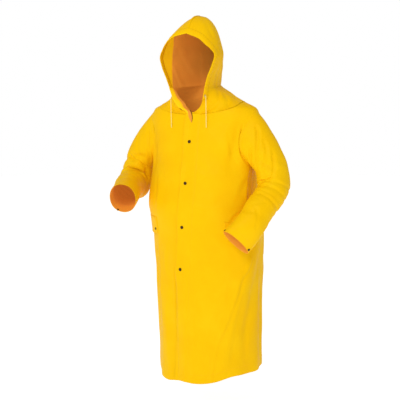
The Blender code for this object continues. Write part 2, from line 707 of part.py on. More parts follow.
for name, grid, normals, column in (
    ("snap_cuff_left_1", sleeve_left_grid, left_sleeve_out, CUFF_SNAPS_LEFT[0]),
    ("snap_cuff_left_2", sleeve_left_grid, left_sleeve_out, CUFF_SNAPS_LEFT[1]),
    ("snap_cuff_right", sleeve_right_grid, right_sleeve_out, CUFF_SNAP_RIGHT),
):
    place, away = spot(grid, normals, SLEEVE_STEPS - 0.21, column)
    snap(name, place, away, SMALL_SNAP_RADIUS, FACE + 0.0003)


# ---------------------------------------------------------------- eyelets and drawstring
def eyelet(name, place, away):
    """A small metal ring lying on the casing."""
    bpy.ops.mesh.primitive_torus_add(
        major_segments=16, minor_segments=6, major_radius=EYELET_RADIUS - EYELET_WIRE, minor_radius=EYELET_WIRE
    )
    made = bpy.context.object
    made.name = name
    for holder in list(made.users_collection):
        holder.objects.unlink(made)
    coat.objects.link(made)
    turn = Vector(away).to_track_quat("Z", "Y")
    made.matrix_world = Matrix.Translation(Vector(place + away * (FACE + EYELET_WIRE + 0.0002))) @ turn.to_matrix().to_4x4()
    made.data.materials.append(new_material(name + "_metal", (0.60, 0.55, 0.40), 0.35, 0.8))
    return made


def cord(name, place, away):
    """A thin cord out of its eyelet, over its lower edge and straight down to a free end."""
    start = place + away * (FACE + 0.0002)
    out = start + away * 0.0075
    hang = out + np.array((0.0, away[1] * 0.004, -0.010))
    t = np.linspace(0.0, 1.0, 9)[:, None]
    curve = (1 - t) ** 3 * start + 3 * (1 - t) ** 2 * t * out + 3 * (1 - t) * t**2 * out + t**3 * hang
    fall = hang + np.linspace(0.0, 1.0, 15)[1:, None] * np.array((0.0, 0.004, -CORD_DROP + 0.010))
    points = np.concatenate((curve, fall))
    data = bpy.data.curves.new(name, "CURVE")
    data.dimensions = "3D"
    line = data.splines.new("POLY")
    line.points.add(len(points) - 1)
    line.points.foreach_set("co", np.concatenate((points, np.ones((len(points), 1))), 1).ravel())
    data.bevel_depth = CORD_RADIUS
    data.bevel_resolution = 2
    data.use_fill_caps = True
    data.materials.append(new_material(name + "_cord", (0.95, 0.85, 0.45), 0.7))
    made = bpy.data.objects.new(name, data)
    coat.objects.link(made)
    return points


casing_out = grid_normals(casing_grid, -1)
for side, row in (("right", 0.30), ("left", len(casing_grid) - 1.30)):
    place, away = spot(casing_grid, casing_out, row, 0.55)
    eyelet("eyelet_" + side, place, away)
    cord("drawstring_" + side, place, away)
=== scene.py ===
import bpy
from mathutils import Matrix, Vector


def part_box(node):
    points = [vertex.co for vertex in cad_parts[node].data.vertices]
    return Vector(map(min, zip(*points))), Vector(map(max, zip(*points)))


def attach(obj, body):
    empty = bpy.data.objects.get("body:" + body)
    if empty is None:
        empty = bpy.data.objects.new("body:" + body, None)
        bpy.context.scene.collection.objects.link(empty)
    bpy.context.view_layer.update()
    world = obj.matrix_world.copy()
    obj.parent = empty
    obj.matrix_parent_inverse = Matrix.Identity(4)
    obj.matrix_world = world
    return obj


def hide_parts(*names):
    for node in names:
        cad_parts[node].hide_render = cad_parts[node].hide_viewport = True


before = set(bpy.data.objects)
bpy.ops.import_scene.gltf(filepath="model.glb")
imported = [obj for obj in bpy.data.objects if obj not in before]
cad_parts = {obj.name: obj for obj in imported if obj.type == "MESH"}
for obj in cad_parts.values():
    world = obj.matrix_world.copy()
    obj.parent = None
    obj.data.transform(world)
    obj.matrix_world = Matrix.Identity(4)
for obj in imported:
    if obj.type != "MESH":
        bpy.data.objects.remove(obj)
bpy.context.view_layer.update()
import math

import bmesh
import bpy
import numpy as np
from mathutils import Vector

print("frame loaded:", len(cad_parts), "solids")

# camera at the height of the wearer's chest, a little to the wearer's left
cameraSettings = {
    "place": (1.4387, -2.5180, -0.120),
    "turnDegrees": 30.0,
    "tiltDownDegrees": 6.9,
    "lens": 59.85,
}
cameraData = bpy.data.cameras.new("coatCamera")
cameraData.lens = cameraSettings["lens"]
cameraData.sensor_width = 36.0
cameraData.clip_end = 60.0
camera = bpy.data.objects.new("coatCamera", cameraData)
camera.location = cameraSettings["place"]
camera.rotation_euler = (
    math.radians(90.0 - cameraSettings["tiltDownDegrees"]), 0.0, math.radians(cameraSettings["turnDegrees"])
)
bpy.context.scene.collection.objects.link(camera)
bpy.context.scene.camera = camera


# small tools for curves and grids
def unitOf(v):
    # a vector divided by its own length
    return v / np.maximum(np.linalg.norm(v, axis=-1, keepdims=True), 1e-12)


def easeStep(t):
    # 3t^2 - 2t^3 between 0 and 1, level at both ends
    t = np.clip(t, 0.0, 1.0)
    return t * t * (3 - 2 * t)


def bell(distance, width):
    # e to the minus squared distance in widths
    return np.exp(-((distance / width) ** 2))


def curveThrough(knots, values, at):
    # cubic pieces through the table; each tangent is a weighted harmonic mean of the slopes beside it,
    # so the curve never overshoots
    knots = np.asarray(knots, float)
    values = np.asarray(values, float)
    flat = values.ndim == 1
    if flat:
        values = values[:, None]
    step = np.diff(knots)[:, None]
    slope = np.diff(values, axis=0) / step
    tangent = np.zeros_like(values)
    tangent[0] = slope[0]
    tangent[-1] = slope[-1]
    before, after = slope[:-1], slope[1:]
    w1 = 2 * step[1:] + step[:-1]
    w2 = step[1:] + 2 * step[:-1]
    same = before * after > 0
    mean = (w1 + w2) / (w1 / np.where(same, before, 1.0) + w2 / np.where(same, after, 1.0))
    tangent[1:-1] = np.where(same, mean, 0.0)
    at = np.clip(np.asarray(at, float), knots[0], knots[-1])
    k = np.clip(np.searchsorted(knots, at, side="right") - 1, 0, len(knots) - 2)
    h = step[k, 0][..., None]
    t = (at - knots[k])[..., None] / h
    made = (
        (2 * t**3 - 3 * t**2 + 1) * values[k]
        + (t**3 - 2 * t**2 + t) * h * tangent[k]
        + (3 * t**2 - 2 * t**3) * values[k + 1]
        + (t**3 - t**2) * h * tangent[k + 1]
    )
    return made[..., 0] if flat else made


def splineThrough(knots, values, at):
    # natural cubic spline: second derivatives from the three-term system, zero at both ends
    n = len(knots)
    step = np.diff(knots)
    system = np.zeros((n, n))
    right = np.zeros((n, values.shape[1]))
    system[0, 0] = system[-1, -1] = 1.0
    inner = np.arange(1, n - 1)
    system[inner, inner - 1] = step[:-1]
    system[inner, inner] = 2 * (step[:-1] + step[1:])
    system[inner, inner + 1] = step[1:]
    slope = np.diff(values, axis=0) / step[:, None]
    right[1:-1] = 6 * np.diff(slope, axis=0)
    bend = np.linalg.solve(system, right)
    k = np.clip(np.searchsorted(knots, at, side="right") - 1, 0, n - 2)
    h = step[k][:, None]
    a = (knots[k + 1] - at)[:, None] / h
    b = (at - knots[k])[:, None] / h
    return a * values[k] + b * values[k + 1] + ((a**3 - a) * bend[k] + (b**3 - b) * bend[k + 1]) * h**2 / 6


def fromTable(table, at):
    # the curve through a table whose first column is the place
    table = np.asarray(table, float)
    return curveThrough(table[:, 0], table[:, 1:] if table.shape[1] > 2 else table[:, 1], at)


def halfTurns(degrees):
    # degrees brought to between -180 and 180
    return (degrees + 180.0) % 360.0 - 180.0


def evenTurn(count):
    # this many even steps round a circle, in radians
    return 2 * np.pi * np.arange(count) / count


def lengthAlong(line):
    # the running length of a line at each of its points
    return np.concatenate(((0.0,), np.cumsum(np.linalg.norm(np.diff(line, axis=0), axis=1))))


def placesAt(marks, run, line):
    # straight steps between a line's points, read at these running lengths
    return np.stack([np.interp(marks, run, line[:, k]) for k in range(3)], -1)


def cubicArc(start, one, two, end, count):
    # (1-t)^3 start + 3(1-t)^2 t one + 3(1-t) t^2 two + t^3 end
    t = np.linspace(0.0, 1.0, count)[:, None]
    return (1 - t) ** 3 * start + 3 * (1 - t) ** 2 * t * one + 3 * (1 - t) * t**2 * two + t**3 * end


def gridNormals(grid, outside, ring=False):
    # cross product of the steps across and along, times +1 or -1 for the outside
    if ring:
        grid = np.concatenate((grid[:, -2:], grid, grid[:, :2]), 1)
    made = unitOf(np.cross(np.gradient(grid, axis=1), np.gradient(grid, axis=0))) * outside
    return made[:, 2:-2] if ring else made


def spotOn(grid, row, column):
    # bilinear place on a grid at fractional row and column
    row = np.clip(np.asarray(row, float), 0, grid.shape[0] - 1.0001)
    column = np.clip(np.asarray(column, float), 0, grid.shape[1] - 1.0001)
    i, j = row.astype(int), column.astype(int)
    a, b = (row - i)[..., None], (column - j)[..., None]
    return (
        grid[i, j] * (1 - a) * (1 - b) + grid[i + 1, j] * a * (1 - b)
        + grid[i, j + 1] * (1 - a) * b + grid[i + 1, j + 1] * a * b
    )


def nearestOn(grid, normals, place):
    # the grid's point closest to a place, with its outward direction
    gap = np.linalg.norm(grid - np.asarray(place), axis=-1)
    k = np.unravel_index(np.argmin(gap), gap.shape)
    return grid[k], unitOf(normals[k])


# a crease's profile: points along its line, how many widths it reaches, and its low shoulders
creaseShape = {"steps": 22, "reach": 4, "shoulder": 0.30, "shoulderAt": 2.0, "shoulderWidth": 0.9}


def creaseField(grid, normals, creases, lookUp):
    # each crease is a smooth line on the cloth; a point sinks by depth times a bell of its distance from
    # the line, wider on one side by lean, with low shoulders beside it, and fades out at both ends
    flatGrid = grid.reshape(-1, 3)
    out = normals.reshape(-1, 3)
    total = np.zeros(len(flatGrid))
    for route, width, depth, lean in creases:
        route = np.asarray(route, float)
        marks = np.linspace(0, 1, creaseShape["steps"])
        line = lookUp(curveThrough(np.linspace(0, 1, len(route)), route, marks))
        reach = creaseShape["reach"] * width
        near = np.all((flatGrid > line.min(0) - reach) & (flatGrid < line.max(0) + reach), axis=1)
        if not near.any():
            continue
        p = flatGrid[near]
        start, step = line[:-1], np.diff(line, axis=0)
        squared = np.sum(step**2, axis=1) + 1e-12
        t = np.clip(np.einsum("nmk,mk->nm", p[:, None] - start[None], step) / squared, 0, 1)
        away = p[:, None] - (start[None] + t[..., None] * step[None])
        gap = np.sum(away**2, axis=-1)
        best = np.argmin(gap, axis=1)
        pick = np.arange(len(p))
        gap = np.sqrt(gap[pick, best])
        away = away[pick, best]
        side = np.sign(np.sum(np.cross(out[near], step[best]) * away, axis=-1))
        along = (best + t[pick, best]) / (len(line) - 1)
        taper = np.sqrt(np.clip(np.sin(np.pi * np.clip(along, 0.0, 1.0)), 0.0, 1.0))
        taper = taper * (0.75 + 0.25 * np.sin(7.0 * along + 40 * width + route[0, 0]))
        w = width * (1 + lean * side) * (0.55 + 0.45 * taper)
        beside = bell(gap - creaseShape["shoulderAt"] * w, creaseShape["shoulderWidth"] * w)
        total[near] += depth * taper * (bell(gap, w) - creaseShape["shoulder"] * beside)
    return total.reshape(grid.shape[:2])


def slowWaves(grid, size, rate, seed):
    # the sum of six sines in random directions, their wavelengths near 1/rate, scaled to a size
    draw = np.random.default_rng(seed)
    direction = unitOf(draw.normal(size=(6, 3))) * draw.uniform(0.7, 1.5, (6, 1)) * rate * 2 * np.pi
    phase = draw.uniform(0, 2 * np.pi, 6)
    return size * np.sin(grid @ direction.T + phase).sum(-1) / 3


# mesh makers, and how thick a single sheet shows
clothWall = 0.0012


def addPiece(name, points, faces, material, uv=None):
    # a mesh object at the origin from arrays of points and faces, riding on the coat's one body
    mesh = bpy.data.meshes.new(name)
    mesh.from_pydata(points.reshape(-1, 3).tolist(), [], faces)
    mesh.polygons.foreach_set("use_smooth", np.full(len(mesh.polygons), True))
    mesh.materials.append(material)
    piece = bpy.data.objects.new(name, mesh)
    bpy.context.scene.collection.objects.link(piece)
    if uv is not None:
        layer = mesh.uv_layers.new(name="cloth")
        corner = np.empty(len(mesh.loops), dtype=np.int32)
        mesh.loops.foreach_get("vertex_index", corner)
        layer.data.foreach_set("uv", uv.reshape(-1, 2)[corner].astype(np.float32).ravel())
    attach(piece, "root")
    return piece


def gridFaces(rows, columns, outside, ring=False):
    # quads between neighbouring rows and columns, turned so that they face outwards
    i, j = np.meshgrid(np.arange(rows - 1), np.arange(columns if ring else columns - 1), indexing="ij")
    k = (j + 1) % columns
    quads = np.stack((i * columns + j, i * columns + k, (i + 1) * columns + k, (i + 1) * columns + j), -1)
    quads = quads.reshape(-1, 4)
    return (quads if outside > 0 else quads[:, ::-1]).tolist()


def clothPiece(name, node, grid, outside, shade=1.0, ring=False, wall=clothWall, material=None, inner=None):
    # a grid of cloth given its wall, standing for a solid of the frame where a node is named; the attribute
    # "inward" holds the painted shade of the cloth's back, higher where it is painted darker deeper inside
    # the coat
    faces = gridFaces(*grid.shape[:2], outside, ring)
    piece = addPiece(name, grid, faces, material or coatCloth)
    piece.data.materials.append(inner or clothInside)
    shade = np.broadcast_to(shade, grid.shape[:2])
    # painted shade of the cloth's back, read by the inside material
    attribute = piece.data.attributes.new("inward", "FLOAT", "POINT")
    attribute.data.foreach_set("value", shade.astype(np.float32).ravel())
    thicken = piece.modifiers.new("wall", "SOLIDIFY")
    thicken.thickness = wall
    thicken.offset = 0.0
    thicken.use_even_offset = False
    thicken.material_offset = 1
    thicken.material_offset_rim = 0
    if node:
        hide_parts(node)
    return piece


def tubeFaces(rings, count):
    # quads between closed rings of points, and one face over each end
    ends = [tuple(range(count))[::-1], tuple((rings - 1) * count + k for k in range(count))]
    return gridFaces(rings, count, 1, ring=True) + ends


def sweptStrip(path, out, profile):
    # a closed profile of (across, up) pairs carried along a path, standing on the cloth's outward direction
    along = unitOf(np.gradient(path, axis=0))
    across = unitOf(np.cross(out, along))
    fromEnd = np.minimum(np.arange(len(path)), np.arange(len(path))[::-1])
    taper = np.minimum(1.0, fromEnd + 0.25)
    points = (
        path[:, None] + across[:, None] * profile[None, :, :1] * taper[:, None, None]
        + out[:, None] * profile[None, :, 1:]
    )
    return points, tubeFaces(len(path), len(profile))


def joinParts(parts):
    # several point and face lists as one
    points, faces, base = [], [], 0
    for p, f in parts:
        p = p.reshape(-1, 3)
        points.append(p)
        faces += [tuple(v + base for v in face) for face in f]
        base += len(p)
    return np.concatenate(points), faces


def solidPiece(name, node, points, faces, material, slotName, uv=None):
    # a closed mesh with every face turned outwards, standing for a solid of the frame where a node is named
    piece = addPiece(name, points, faces, material, uv)
    work = bmesh.new()
    work.from_mesh(piece.data)
    bmesh.ops.recalc_face_normals(work, faces=work.faces)
    work.to_mesh(piece.data)
    work.free()
    if node:
        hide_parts(node)
    return piece


# materials
def nodeMaterial(name, settings):
    # a Principled material; plain numbers go straight on its sockets
    made = bpy.data.materials.new(name)
    made.use_nodes = True
    tree = made.node_tree
    shader = tree.nodes["Principled BSDF"]
    for socket, value in settings.items():
        shader.inputs[socket].default_value = value
    return made, tree, shader


def addNode(tree, kind, settings=None, **inputs):
    # one node with its settings and its input values or links
    node = tree.nodes.new(kind)
    for key, value in (settings or {}).items():
        setattr(node, key, value)
    for key, value in inputs.items():
        socket = node.inputs[int(key[1:])] if key[0] == "i" and key[1:].isdigit() else node.inputs[key]
        if isinstance(value, bpy.types.NodeSocket):
            tree.links.new(value, socket)
        else:
            socket.default_value = value
    return node


def colourRamp(tree, factor, stops):
    # a ramp node with these stops, fed by the factor
    ramp = tree.nodes.new("ShaderNodeValToRGB")
    while len(ramp.color_ramp.elements) < len(stops):
        ramp.color_ramp.elements.new(0.5)
    for element, (place, colour) in zip(ramp.color_ramp.elements, stops):
        element.position = place
        element.color = (*colour, 1.0)
    tree.links.new(factor, ramp.inputs[0])
    return ramp.outputs[0]


clothLook = {
    "sockets": {"Specular IOR Level": 0.03, "Sheen Weight": 0.005, "Sheen Roughness": 0.5},
    "shades": (
        (0.30, (0.880, 0.488, 0.001)), (0.5, (0.885, 0.508, 0.001)), (0.72, (0.892, 0.530, 0.002)),
    ),
    "rough": (0.40, 0.56),
    "weavePerMetre": 900.0,
    "grainHeight": 0.00010,
    "creaseHeight": 0.0024,
}


def makeCoatCloth():
    # coated cloth: slow change of shade, fine woven grain under the coating, soft creases in the bump
    made, tree, shader = nodeMaterial("coatCloth", clothLook["sockets"])
    place = addNode(tree, "ShaderNodeTexCoord").outputs["Object"]
    slow = addNode(tree, "ShaderNodeTexNoise", Vector=place, Scale=9.0, Detail=3.0, Roughness=0.55)
    tree.links.new(colourRamp(tree, slow.outputs["Fac"], clothLook["shades"]), shader.inputs["Base Color"])
    grain = addNode(tree, "ShaderNodeTexNoise", Vector=place, Scale=60.0, Detail=4.0, Roughness=0.6)
    rough = addNode(tree, "ShaderNodeMapRange", i0=grain.outputs["Fac"], i1=0.3, i2=0.7,
                    i3=clothLook["rough"][0], i4=clothLook["rough"][1])
    tree.links.new(rough.outputs[0], shader.inputs["Roughness"])
    weave = addNode(tree, "ShaderNodeTexVoronoi", Vector=place, Scale=clothLook["weavePerMetre"],
                    Randomness=0.55)
    crumple = addNode(tree, "ShaderNodeTexNoise", Vector=place, Scale=26.0, Detail=5.0, Roughness=0.62,
                      Distortion=0.6)
    soft = addNode(tree, "ShaderNodeBump", Strength=0.45, Distance=clothLook["creaseHeight"],
                   Height=crumple.outputs["Fac"])
    fine = addNode(tree, "ShaderNodeBump", Strength=0.35, Distance=clothLook["grainHeight"],
                   Height=weave.outputs["Distance"], Normal=soft.outputs["Normal"])
    tree.links.new(fine.outputs["Normal"], shader.inputs["Normal"])
    return made


insideLook = {
    # stops by depth inside the coat: the colour, darker deeper in as painted shade, and a painted glow that
    # stands in for bounced light
    "colours": (
        (0.0, (0.93, 0.50, 0.004)), (0.30, (0.90, 0.44, 0.010)), (0.40, (0.62, 0.230, 0.026)),
        (0.65, (0.52, 0.200, 0.026)), (0.94, (0.34, 0.148, 0.018)), (1.0, (0.06, 0.018, 0.004)),
    ),
    "paintedGlow": (
        (0.0, (0.14, 0.130, 0.002)), (0.28, (0.16, 0.090, 0.004)), (0.37, (0.20, 0.086, 0.014)),
        (0.46, (0.20, 0.080, 0.011)), (0.60, (0.14, 0.050, 0.007)), (0.94, (0.055, 0.024, 0.003)),
        (1.0, (0.0, 0.0, 0.0)),
    ),
    "rough": (0.70, 0.88),
    "weavePerMetre": 1300.0,
    "grainHeight": 0.00015,
}


def makeClothInside():
    # the back of the cloth: yellow at the openings' edges, then a woven brown of painted shade, darker the
    # deeper the place; a painted glow stands in for light bounced inside, less the deeper the place
    made, tree, shader = nodeMaterial("clothInside", {"Specular IOR Level": 0.06, "Emission Strength": 1.0})
    place = addNode(tree, "ShaderNodeTexCoord").outputs["Object"]
    depth = addNode(tree, "ShaderNodeAttribute", {"attribute_name": "inward"}).outputs["Fac"]
    mottle = addNode(tree, "ShaderNodeTexNoise", Vector=place, Scale=24.0, Detail=4.0, Roughness=0.6)
    shifted = addNode(tree, "ShaderNodeMath", {"operation": "MULTIPLY_ADD"},
                      i0=mottle.outputs["Fac"], i1=0.06, i2=-0.03)
    level = addNode(tree, "ShaderNodeMath", {"operation": "ADD"}, i0=depth, i1=shifted.outputs[0])
    # base colour: painted shade by depth; emission: a painted glow, no lamp
    for stops, socket in (("colours", "Base Color"), ("paintedGlow", "Emission Color")):
        tree.links.new(colourRamp(tree, level.outputs[0], insideLook[stops]), shader.inputs[socket])
    rough = addNode(tree, "ShaderNodeMapRange", i0=mottle.outputs["Fac"], i1=0.3, i2=0.7,
                    i3=insideLook["rough"][0], i4=insideLook["rough"][1])
    tree.links.new(rough.outputs[0], shader.inputs["Roughness"])
    weave = addNode(tree, "ShaderNodeTexVoronoi", Vector=place, Scale=insideLook["weavePerMetre"],
                    Randomness=0.35)
    fine = addNode(tree, "ShaderNodeBump", Strength=0.5, Distance=insideLook["grainHeight"],
                   Height=weave.outputs["Distance"])
    tree.links.new(fine.outputs["Normal"], shader.inputs["Normal"])
    return made


def speckled(name, sockets, noise, stops, rough, between=(0.0, 1.0), bump=None):
    # colour and roughness both follow one fine noise of scale, detail and roughness; bump is strength
    # and height
    made, tree, shader = nodeMaterial(name, sockets)
    place = addNode(tree, "ShaderNodeTexCoord").outputs["Object"]
    scale, detail, texture = noise
    fleck = addNode(tree, "ShaderNodeTexNoise", Vector=place, Scale=scale, Detail=detail, Roughness=texture)
    tree.links.new(colourRamp(tree, fleck.outputs["Fac"], stops), shader.inputs["Base Color"])
    level = addNode(tree, "ShaderNodeMapRange", i0=fleck.outputs["Fac"], i1=between[0], i2=between[1],
                    i3=rough[0], i4=rough[1])
    tree.links.new(level.outputs[0], shader.inputs["Roughness"])
    if bump:
        fine = addNode(tree, "ShaderNodeBump", Strength=bump[0], Distance=bump[1],
                       Height=fleck.outputs["Fac"])
        tree.links.new(fine.outputs["Normal"], shader.inputs["Normal"])
    return made


def makeCordMaterial():
    # pale braided cord: two sets of strands wound opposite ways, read from the cord's own turns and length
    made, tree, shader = nodeMaterial("drawCord", {"Specular IOR Level": 0.2, "Roughness": 0.78})
    uv = addNode(tree, "ShaderNodeUVMap", {"uv_map": "cloth"}).outputs[0]
    turns, length = addNode(tree, "ShaderNodeSeparateXYZ", i0=uv).outputs[:2]
    both = [addNode(tree, "ShaderNodeMath", {"operation": kind}, i0=turns, i1=length)
            for kind in ("ADD", "SUBTRACT")]
    waves = [addNode(tree, "ShaderNodeMath", {"operation": "SINE"}, i0=way.outputs[0]) for way in both]
    weave = addNode(tree, "ShaderNodeMath", {"operation": "MULTIPLY"},
                    i0=waves[0].outputs[0], i1=waves[1].outputs[0])
    tree.links.new(colourRamp(tree, weave.outputs[0], (
        (0.0, (0.90, 0.70, 0.22)), (0.6, (0.97, 0.82, 0.36)))), shader.inputs["Base Color"])
    lift = addNode(tree, "ShaderNodeBump", Strength=0.6, Distance=0.0002, Height=weave.outputs[0])
    tree.links.new(lift.outputs["Normal"], shader.inputs["Normal"])
    return made


coatCloth = makeCoatCloth()
clothInside = makeClothInside()
seamThread = speckled(
    "seamThread", {"Specular IOR Level": 0.3}, (700.0, 2.0, 0.5),
    ((0.3, (0.90, 0.44, 0.006)), (0.7, (0.98, 0.53, 0.010))), (0.55, 0.75))
# dark brown enamel, worn lighter and smoother in flecks
snapEnamel = speckled(
    "snapEnamel", {"Metallic": 0.0, "Specular IOR Level": 0.10}, (420.0, 4.0, 0.65),
    ((0.35, (0.040, 0.016, 0.005)), (0.62, (0.065, 0.026, 0.008)), (0.80, (0.14, 0.060, 0.016))),
    (0.50, 0.36), (0.3, 0.75), (0.2, 0.0001))
# satin brass with fine scratches
eyeletBrass = speckled(
    "eyeletBrass", {"Metallic": 0.9}, (900.0, 3.0, 0.5),
    ((0.3, (0.55, 0.40, 0.14)), (0.7, (0.80, 0.62, 0.26))), (0.25, 0.42))
drawCord = makeCordMaterial()
print("materials ready")

# drawstrings first: over the lower edge of each eyelet, then straight down to a free end
cordSettings = {
    "radius": 0.0014,
    "rings": 190,
    "around": 16,
    "drop": 0.128,
    "inEyelet": 0.0075,
    "drift": 0.004,
    "bendDown": 0.010,
    "strands": 6,
    "strandPitch": 0.0075,
    "strandSwell": 0.06,
    "sides": {
        "right": {"start": (-0.08084, -0.11864, -0.02390), "away": (-0.94015, -0.12468, -0.31714)},
        "left": {"start": (0.07723, -0.11937, -0.02363), "away": (0.89474, -0.38005, -0.23455)},
    },
}


def cordRoute(start, away):
    # a short cubic arc out of the eyelet and over, then a straight fall that drifts back 4 mm
    out = start + away * cordSettings["inEyelet"]
    drift, bend = cordSettings["drift"], cordSettings["bendDown"]
    hang = out + np.array((0.0, away[1] * drift, -bend))
    fall = np.linspace(0.0, 1.0, 15)[1:, None] * np.array((0.0, drift, bend - cordSettings["drop"]))
    return np.concatenate((cubicArc(start, out, out, hang, 9), hang + fall))


def cordTube(route, radius):
    # a circle carried along the route, swelling over each strand, closed by rounded ends
    run = lengthAlong(route)
    marks = np.linspace(0.0, run[-1], cordSettings["rings"])
    line = placesAt(marks, run, route)
    along = unitOf(np.gradient(line, axis=0))
    side = unitOf(np.cross(along, np.array((0.0, 1.0, 0.0))))
    other = np.cross(along, side)
    turn = evenTurn(cordSettings["around"])
    windings = cordSettings["strands"] / 2 * turn
    pitch = marks[:, None] * 2 * np.pi / cordSettings["strandPitch"]
    swell = 1 + cordSettings["strandSwell"] * np.sin(windings + pitch) * np.sin(windings - pitch)
    endGap = np.minimum(marks, run[-1] - marks)
    close = np.sqrt(np.clip(1 - (1 - np.clip(endGap / radius, 0, 1)) ** 2, 0.0, 1.0))
    size = radius * 0.94 * swell * np.maximum(close, 0.05)[:, None]
    ring = line[:, None] + size[..., None] * (np.cos(turn)[None, :, None] * side[:, None]
                                              + np.sin(turn)[None, :, None] * other[:, None])
    uv = np.stack(np.broadcast_arrays(windings[None], pitch), -1)
    return ring, uv, run[-1]


for sideName, ends in cordSettings["sides"].items():
    route = cordRoute(np.array(ends["start"]), np.array(ends["away"]))
    ring, uv, cordLength = cordTube(route, cordSettings["radius"])
    cordPiece = solidPiece("cord_" + sideName, "drawstring_" + sideName, ring, tubeFaces(*ring.shape[:2]),
                           drawCord, "cord", uv)
    print("drawstring", sideName, "length", round(float(cordLength), 4))

# the body: sections of height, half width, front depth, back depth, centre x, centre y
bodySettings = {
    "underarm": -0.305,
    "shoulderTip": -0.075,
    "neckSeam": -0.045,
    "frontNeckDrop": 0.050,
    "backNeckRise": 0.018,
    "armholeReach": 33.0,
    "hemFade": 0.30,
    # flutes of the hem: waves a turn, start in degrees, size; they die out over this height
    "flutes": ((9.0, 40.0, 0.0022), (14.0, 0.0, 0.0012)),
    "fluteHeight": 0.45,
    "rowStep": 0.0046,
    # slow waves: size, rate, seed
    "waves": (0.0009, 7.0, 11),
    "flapRight": -0.024,
    "flapLeft": 0.050,
    "rows": (-1.228, -1.13, -1.03, -0.93, -0.84, -0.76, -0.68, -0.617, -0.54, -0.48, -0.42, -0.36),
    "sections": (
        (-1.228, 0.236, 0.204, 0.205, 0.030, 0.020), (-0.900, 0.246, 0.199, 0.200, 0.021, 0.020),
        (-0.750, 0.252, 0.197, 0.198, 0.018, 0.021), (-0.620, 0.258, 0.194, 0.189, 0.013, 0.022),
        (-0.560, 0.260, 0.192, 0.184, 0.007, 0.018), (-0.490, 0.260, 0.186, 0.180, -0.007, 0.012),
        (-0.420, 0.254, 0.169, 0.175, -0.005, 0.007), (-0.340, 0.244, 0.152, 0.168, -0.003, 0.002),
        (-0.305, 0.240, 0.143, 0.163, -0.003, 0.000), (-0.200, 0.258, 0.126, 0.146, 0.001, 0.000),
        (-0.120, 0.262, 0.110, 0.122, 0.004, 0.000), (-0.075, 0.245, 0.104, 0.108, 0.006, 0.000),
        (-0.045, 0.186, 0.098, 0.096, 0.006, 0.000), (-0.020, 0.150, 0.092, 0.088, 0.005, 0.000),
    ),
    "hemLevel": (
        (-180.0, 0.000), (-80.0, -0.002), (-62.0, -0.012), (-48.0, -0.025), (-32.0, -0.026), (-8.0, -0.008),
        (14.0, -0.004), (55.0, 0.032), (105.0, 0.030), (145.0, 0.008), (180.0, 0.000),
    ),
    "centreFront": ((-1.228, -0.018), (-0.800, -0.010), (-0.560, 0.000), (-0.400, 0.006), (-0.095, 0.002)),
    # broad soft folds: angle, height, half angle, half length, lean in degrees a metre, depth
    "folds": (
        (-17.0, -1.020, 7.0, 0.230, 0.0, -0.014), (48.0, -0.980, 11.0, 0.320, 75.0, 0.010),
        (82.0, -0.820, 9.0, 0.200, 75.0, -0.010), (-48.0, -0.920, 9.0, 0.260, 0.0, -0.007),
        (100.0, -0.950, 9.0, 0.260, 0.0, -0.012), (140.0, -0.880, 9.0, 0.300, 0.0, -0.012),
        (-150.0, -0.900, 10.0, 0.300, 0.0, -0.012), (-108.0, -0.930, 8.0, 0.260, 0.0, -0.010),
        (92.0, -0.435, 13.0, 0.100, 0.0, -0.013), (-98.0, -0.430, 13.0, 0.100, 0.0, -0.016),
        (52.0, -0.235, 7.0, 0.090, 0.0, -0.009), (-54.0, -0.250, 7.0, 0.090, 0.0, -0.009),
        (150.0, -0.300, 9.0, 0.150, 40.0, -0.008), (-150.0, -0.300, 9.0, 0.150, -40.0, -0.008),
    ),
}
armMiddle = (bodySettings["underarm"] + bodySettings["shoulderTip"]) / 2
armHalf = (bodySettings["shoulderTip"] - bodySettings["underarm"]) / 2


def seamHeight(angle, row):
    # a row's height follows the wavy hem near the bottom and tips to the front near the neck seam
    c = np.cos(angle)
    wave = fromTable(bodySettings["hemLevel"], halfTurns(np.degrees(angle)))
    row = row + wave * easeStep(1 - (row - bodySettings["rows"][0]) / bodySettings["hemFade"])
    drop = np.where(c > 0, -bodySettings["frontNeckDrop"] * c**2, bodySettings["backNeckRise"] * c**2)
    start = bodySettings["underarm"] + 0.03
    return row + drop * easeStep((row - start) / (bodySettings["neckSeam"] - start))


def bodyPoint(angle, row):
    # an oval section with its own front and back depth, pushed in or out by the broad folds
    angle, row = np.broadcast_arrays(np.asarray(angle, float), np.asarray(row, float))
    height = seamHeight(angle, row)
    half, front, back, centreX, centreY = np.moveaxis(fromTable(bodySettings["sections"], height), -1, 0)
    s, c = np.sin(angle), np.cos(angle)
    depth = np.where(c > 0, front, back)
    swell = np.zeros_like(height)
    for a, z, wide, length, lean, deep in bodySettings["folds"]:
        off = halfTurns(np.degrees(angle) - a - lean * (height - z))
        swell = swell + deep * np.exp(-((off / wide) ** 2) - ((height - z) / length) ** 4)
    return np.stack((centreX + (half + swell) * s, centreY - (depth + swell) * c, height), -1)


def angleAtX(offCentre, row):
    # the front angle at which a row passes this far to the left of the centre front line
    x = fromTable(bodySettings["centreFront"], row) + offCentre
    section = fromTable(bodySettings["sections"], seamHeight(np.zeros_like(row), row))
    return np.arcsin((x - section[..., 3]) / section[..., 0])


def armholeCut(row):
    # the armhole takes an oval bite out of the front's and the back's angle
    bite = np.sqrt(np.clip(1 - ((row - armMiddle) / armHalf) ** 2, 0.0, 1.0))
    return np.radians(bodySettings["armholeReach"]) * bite


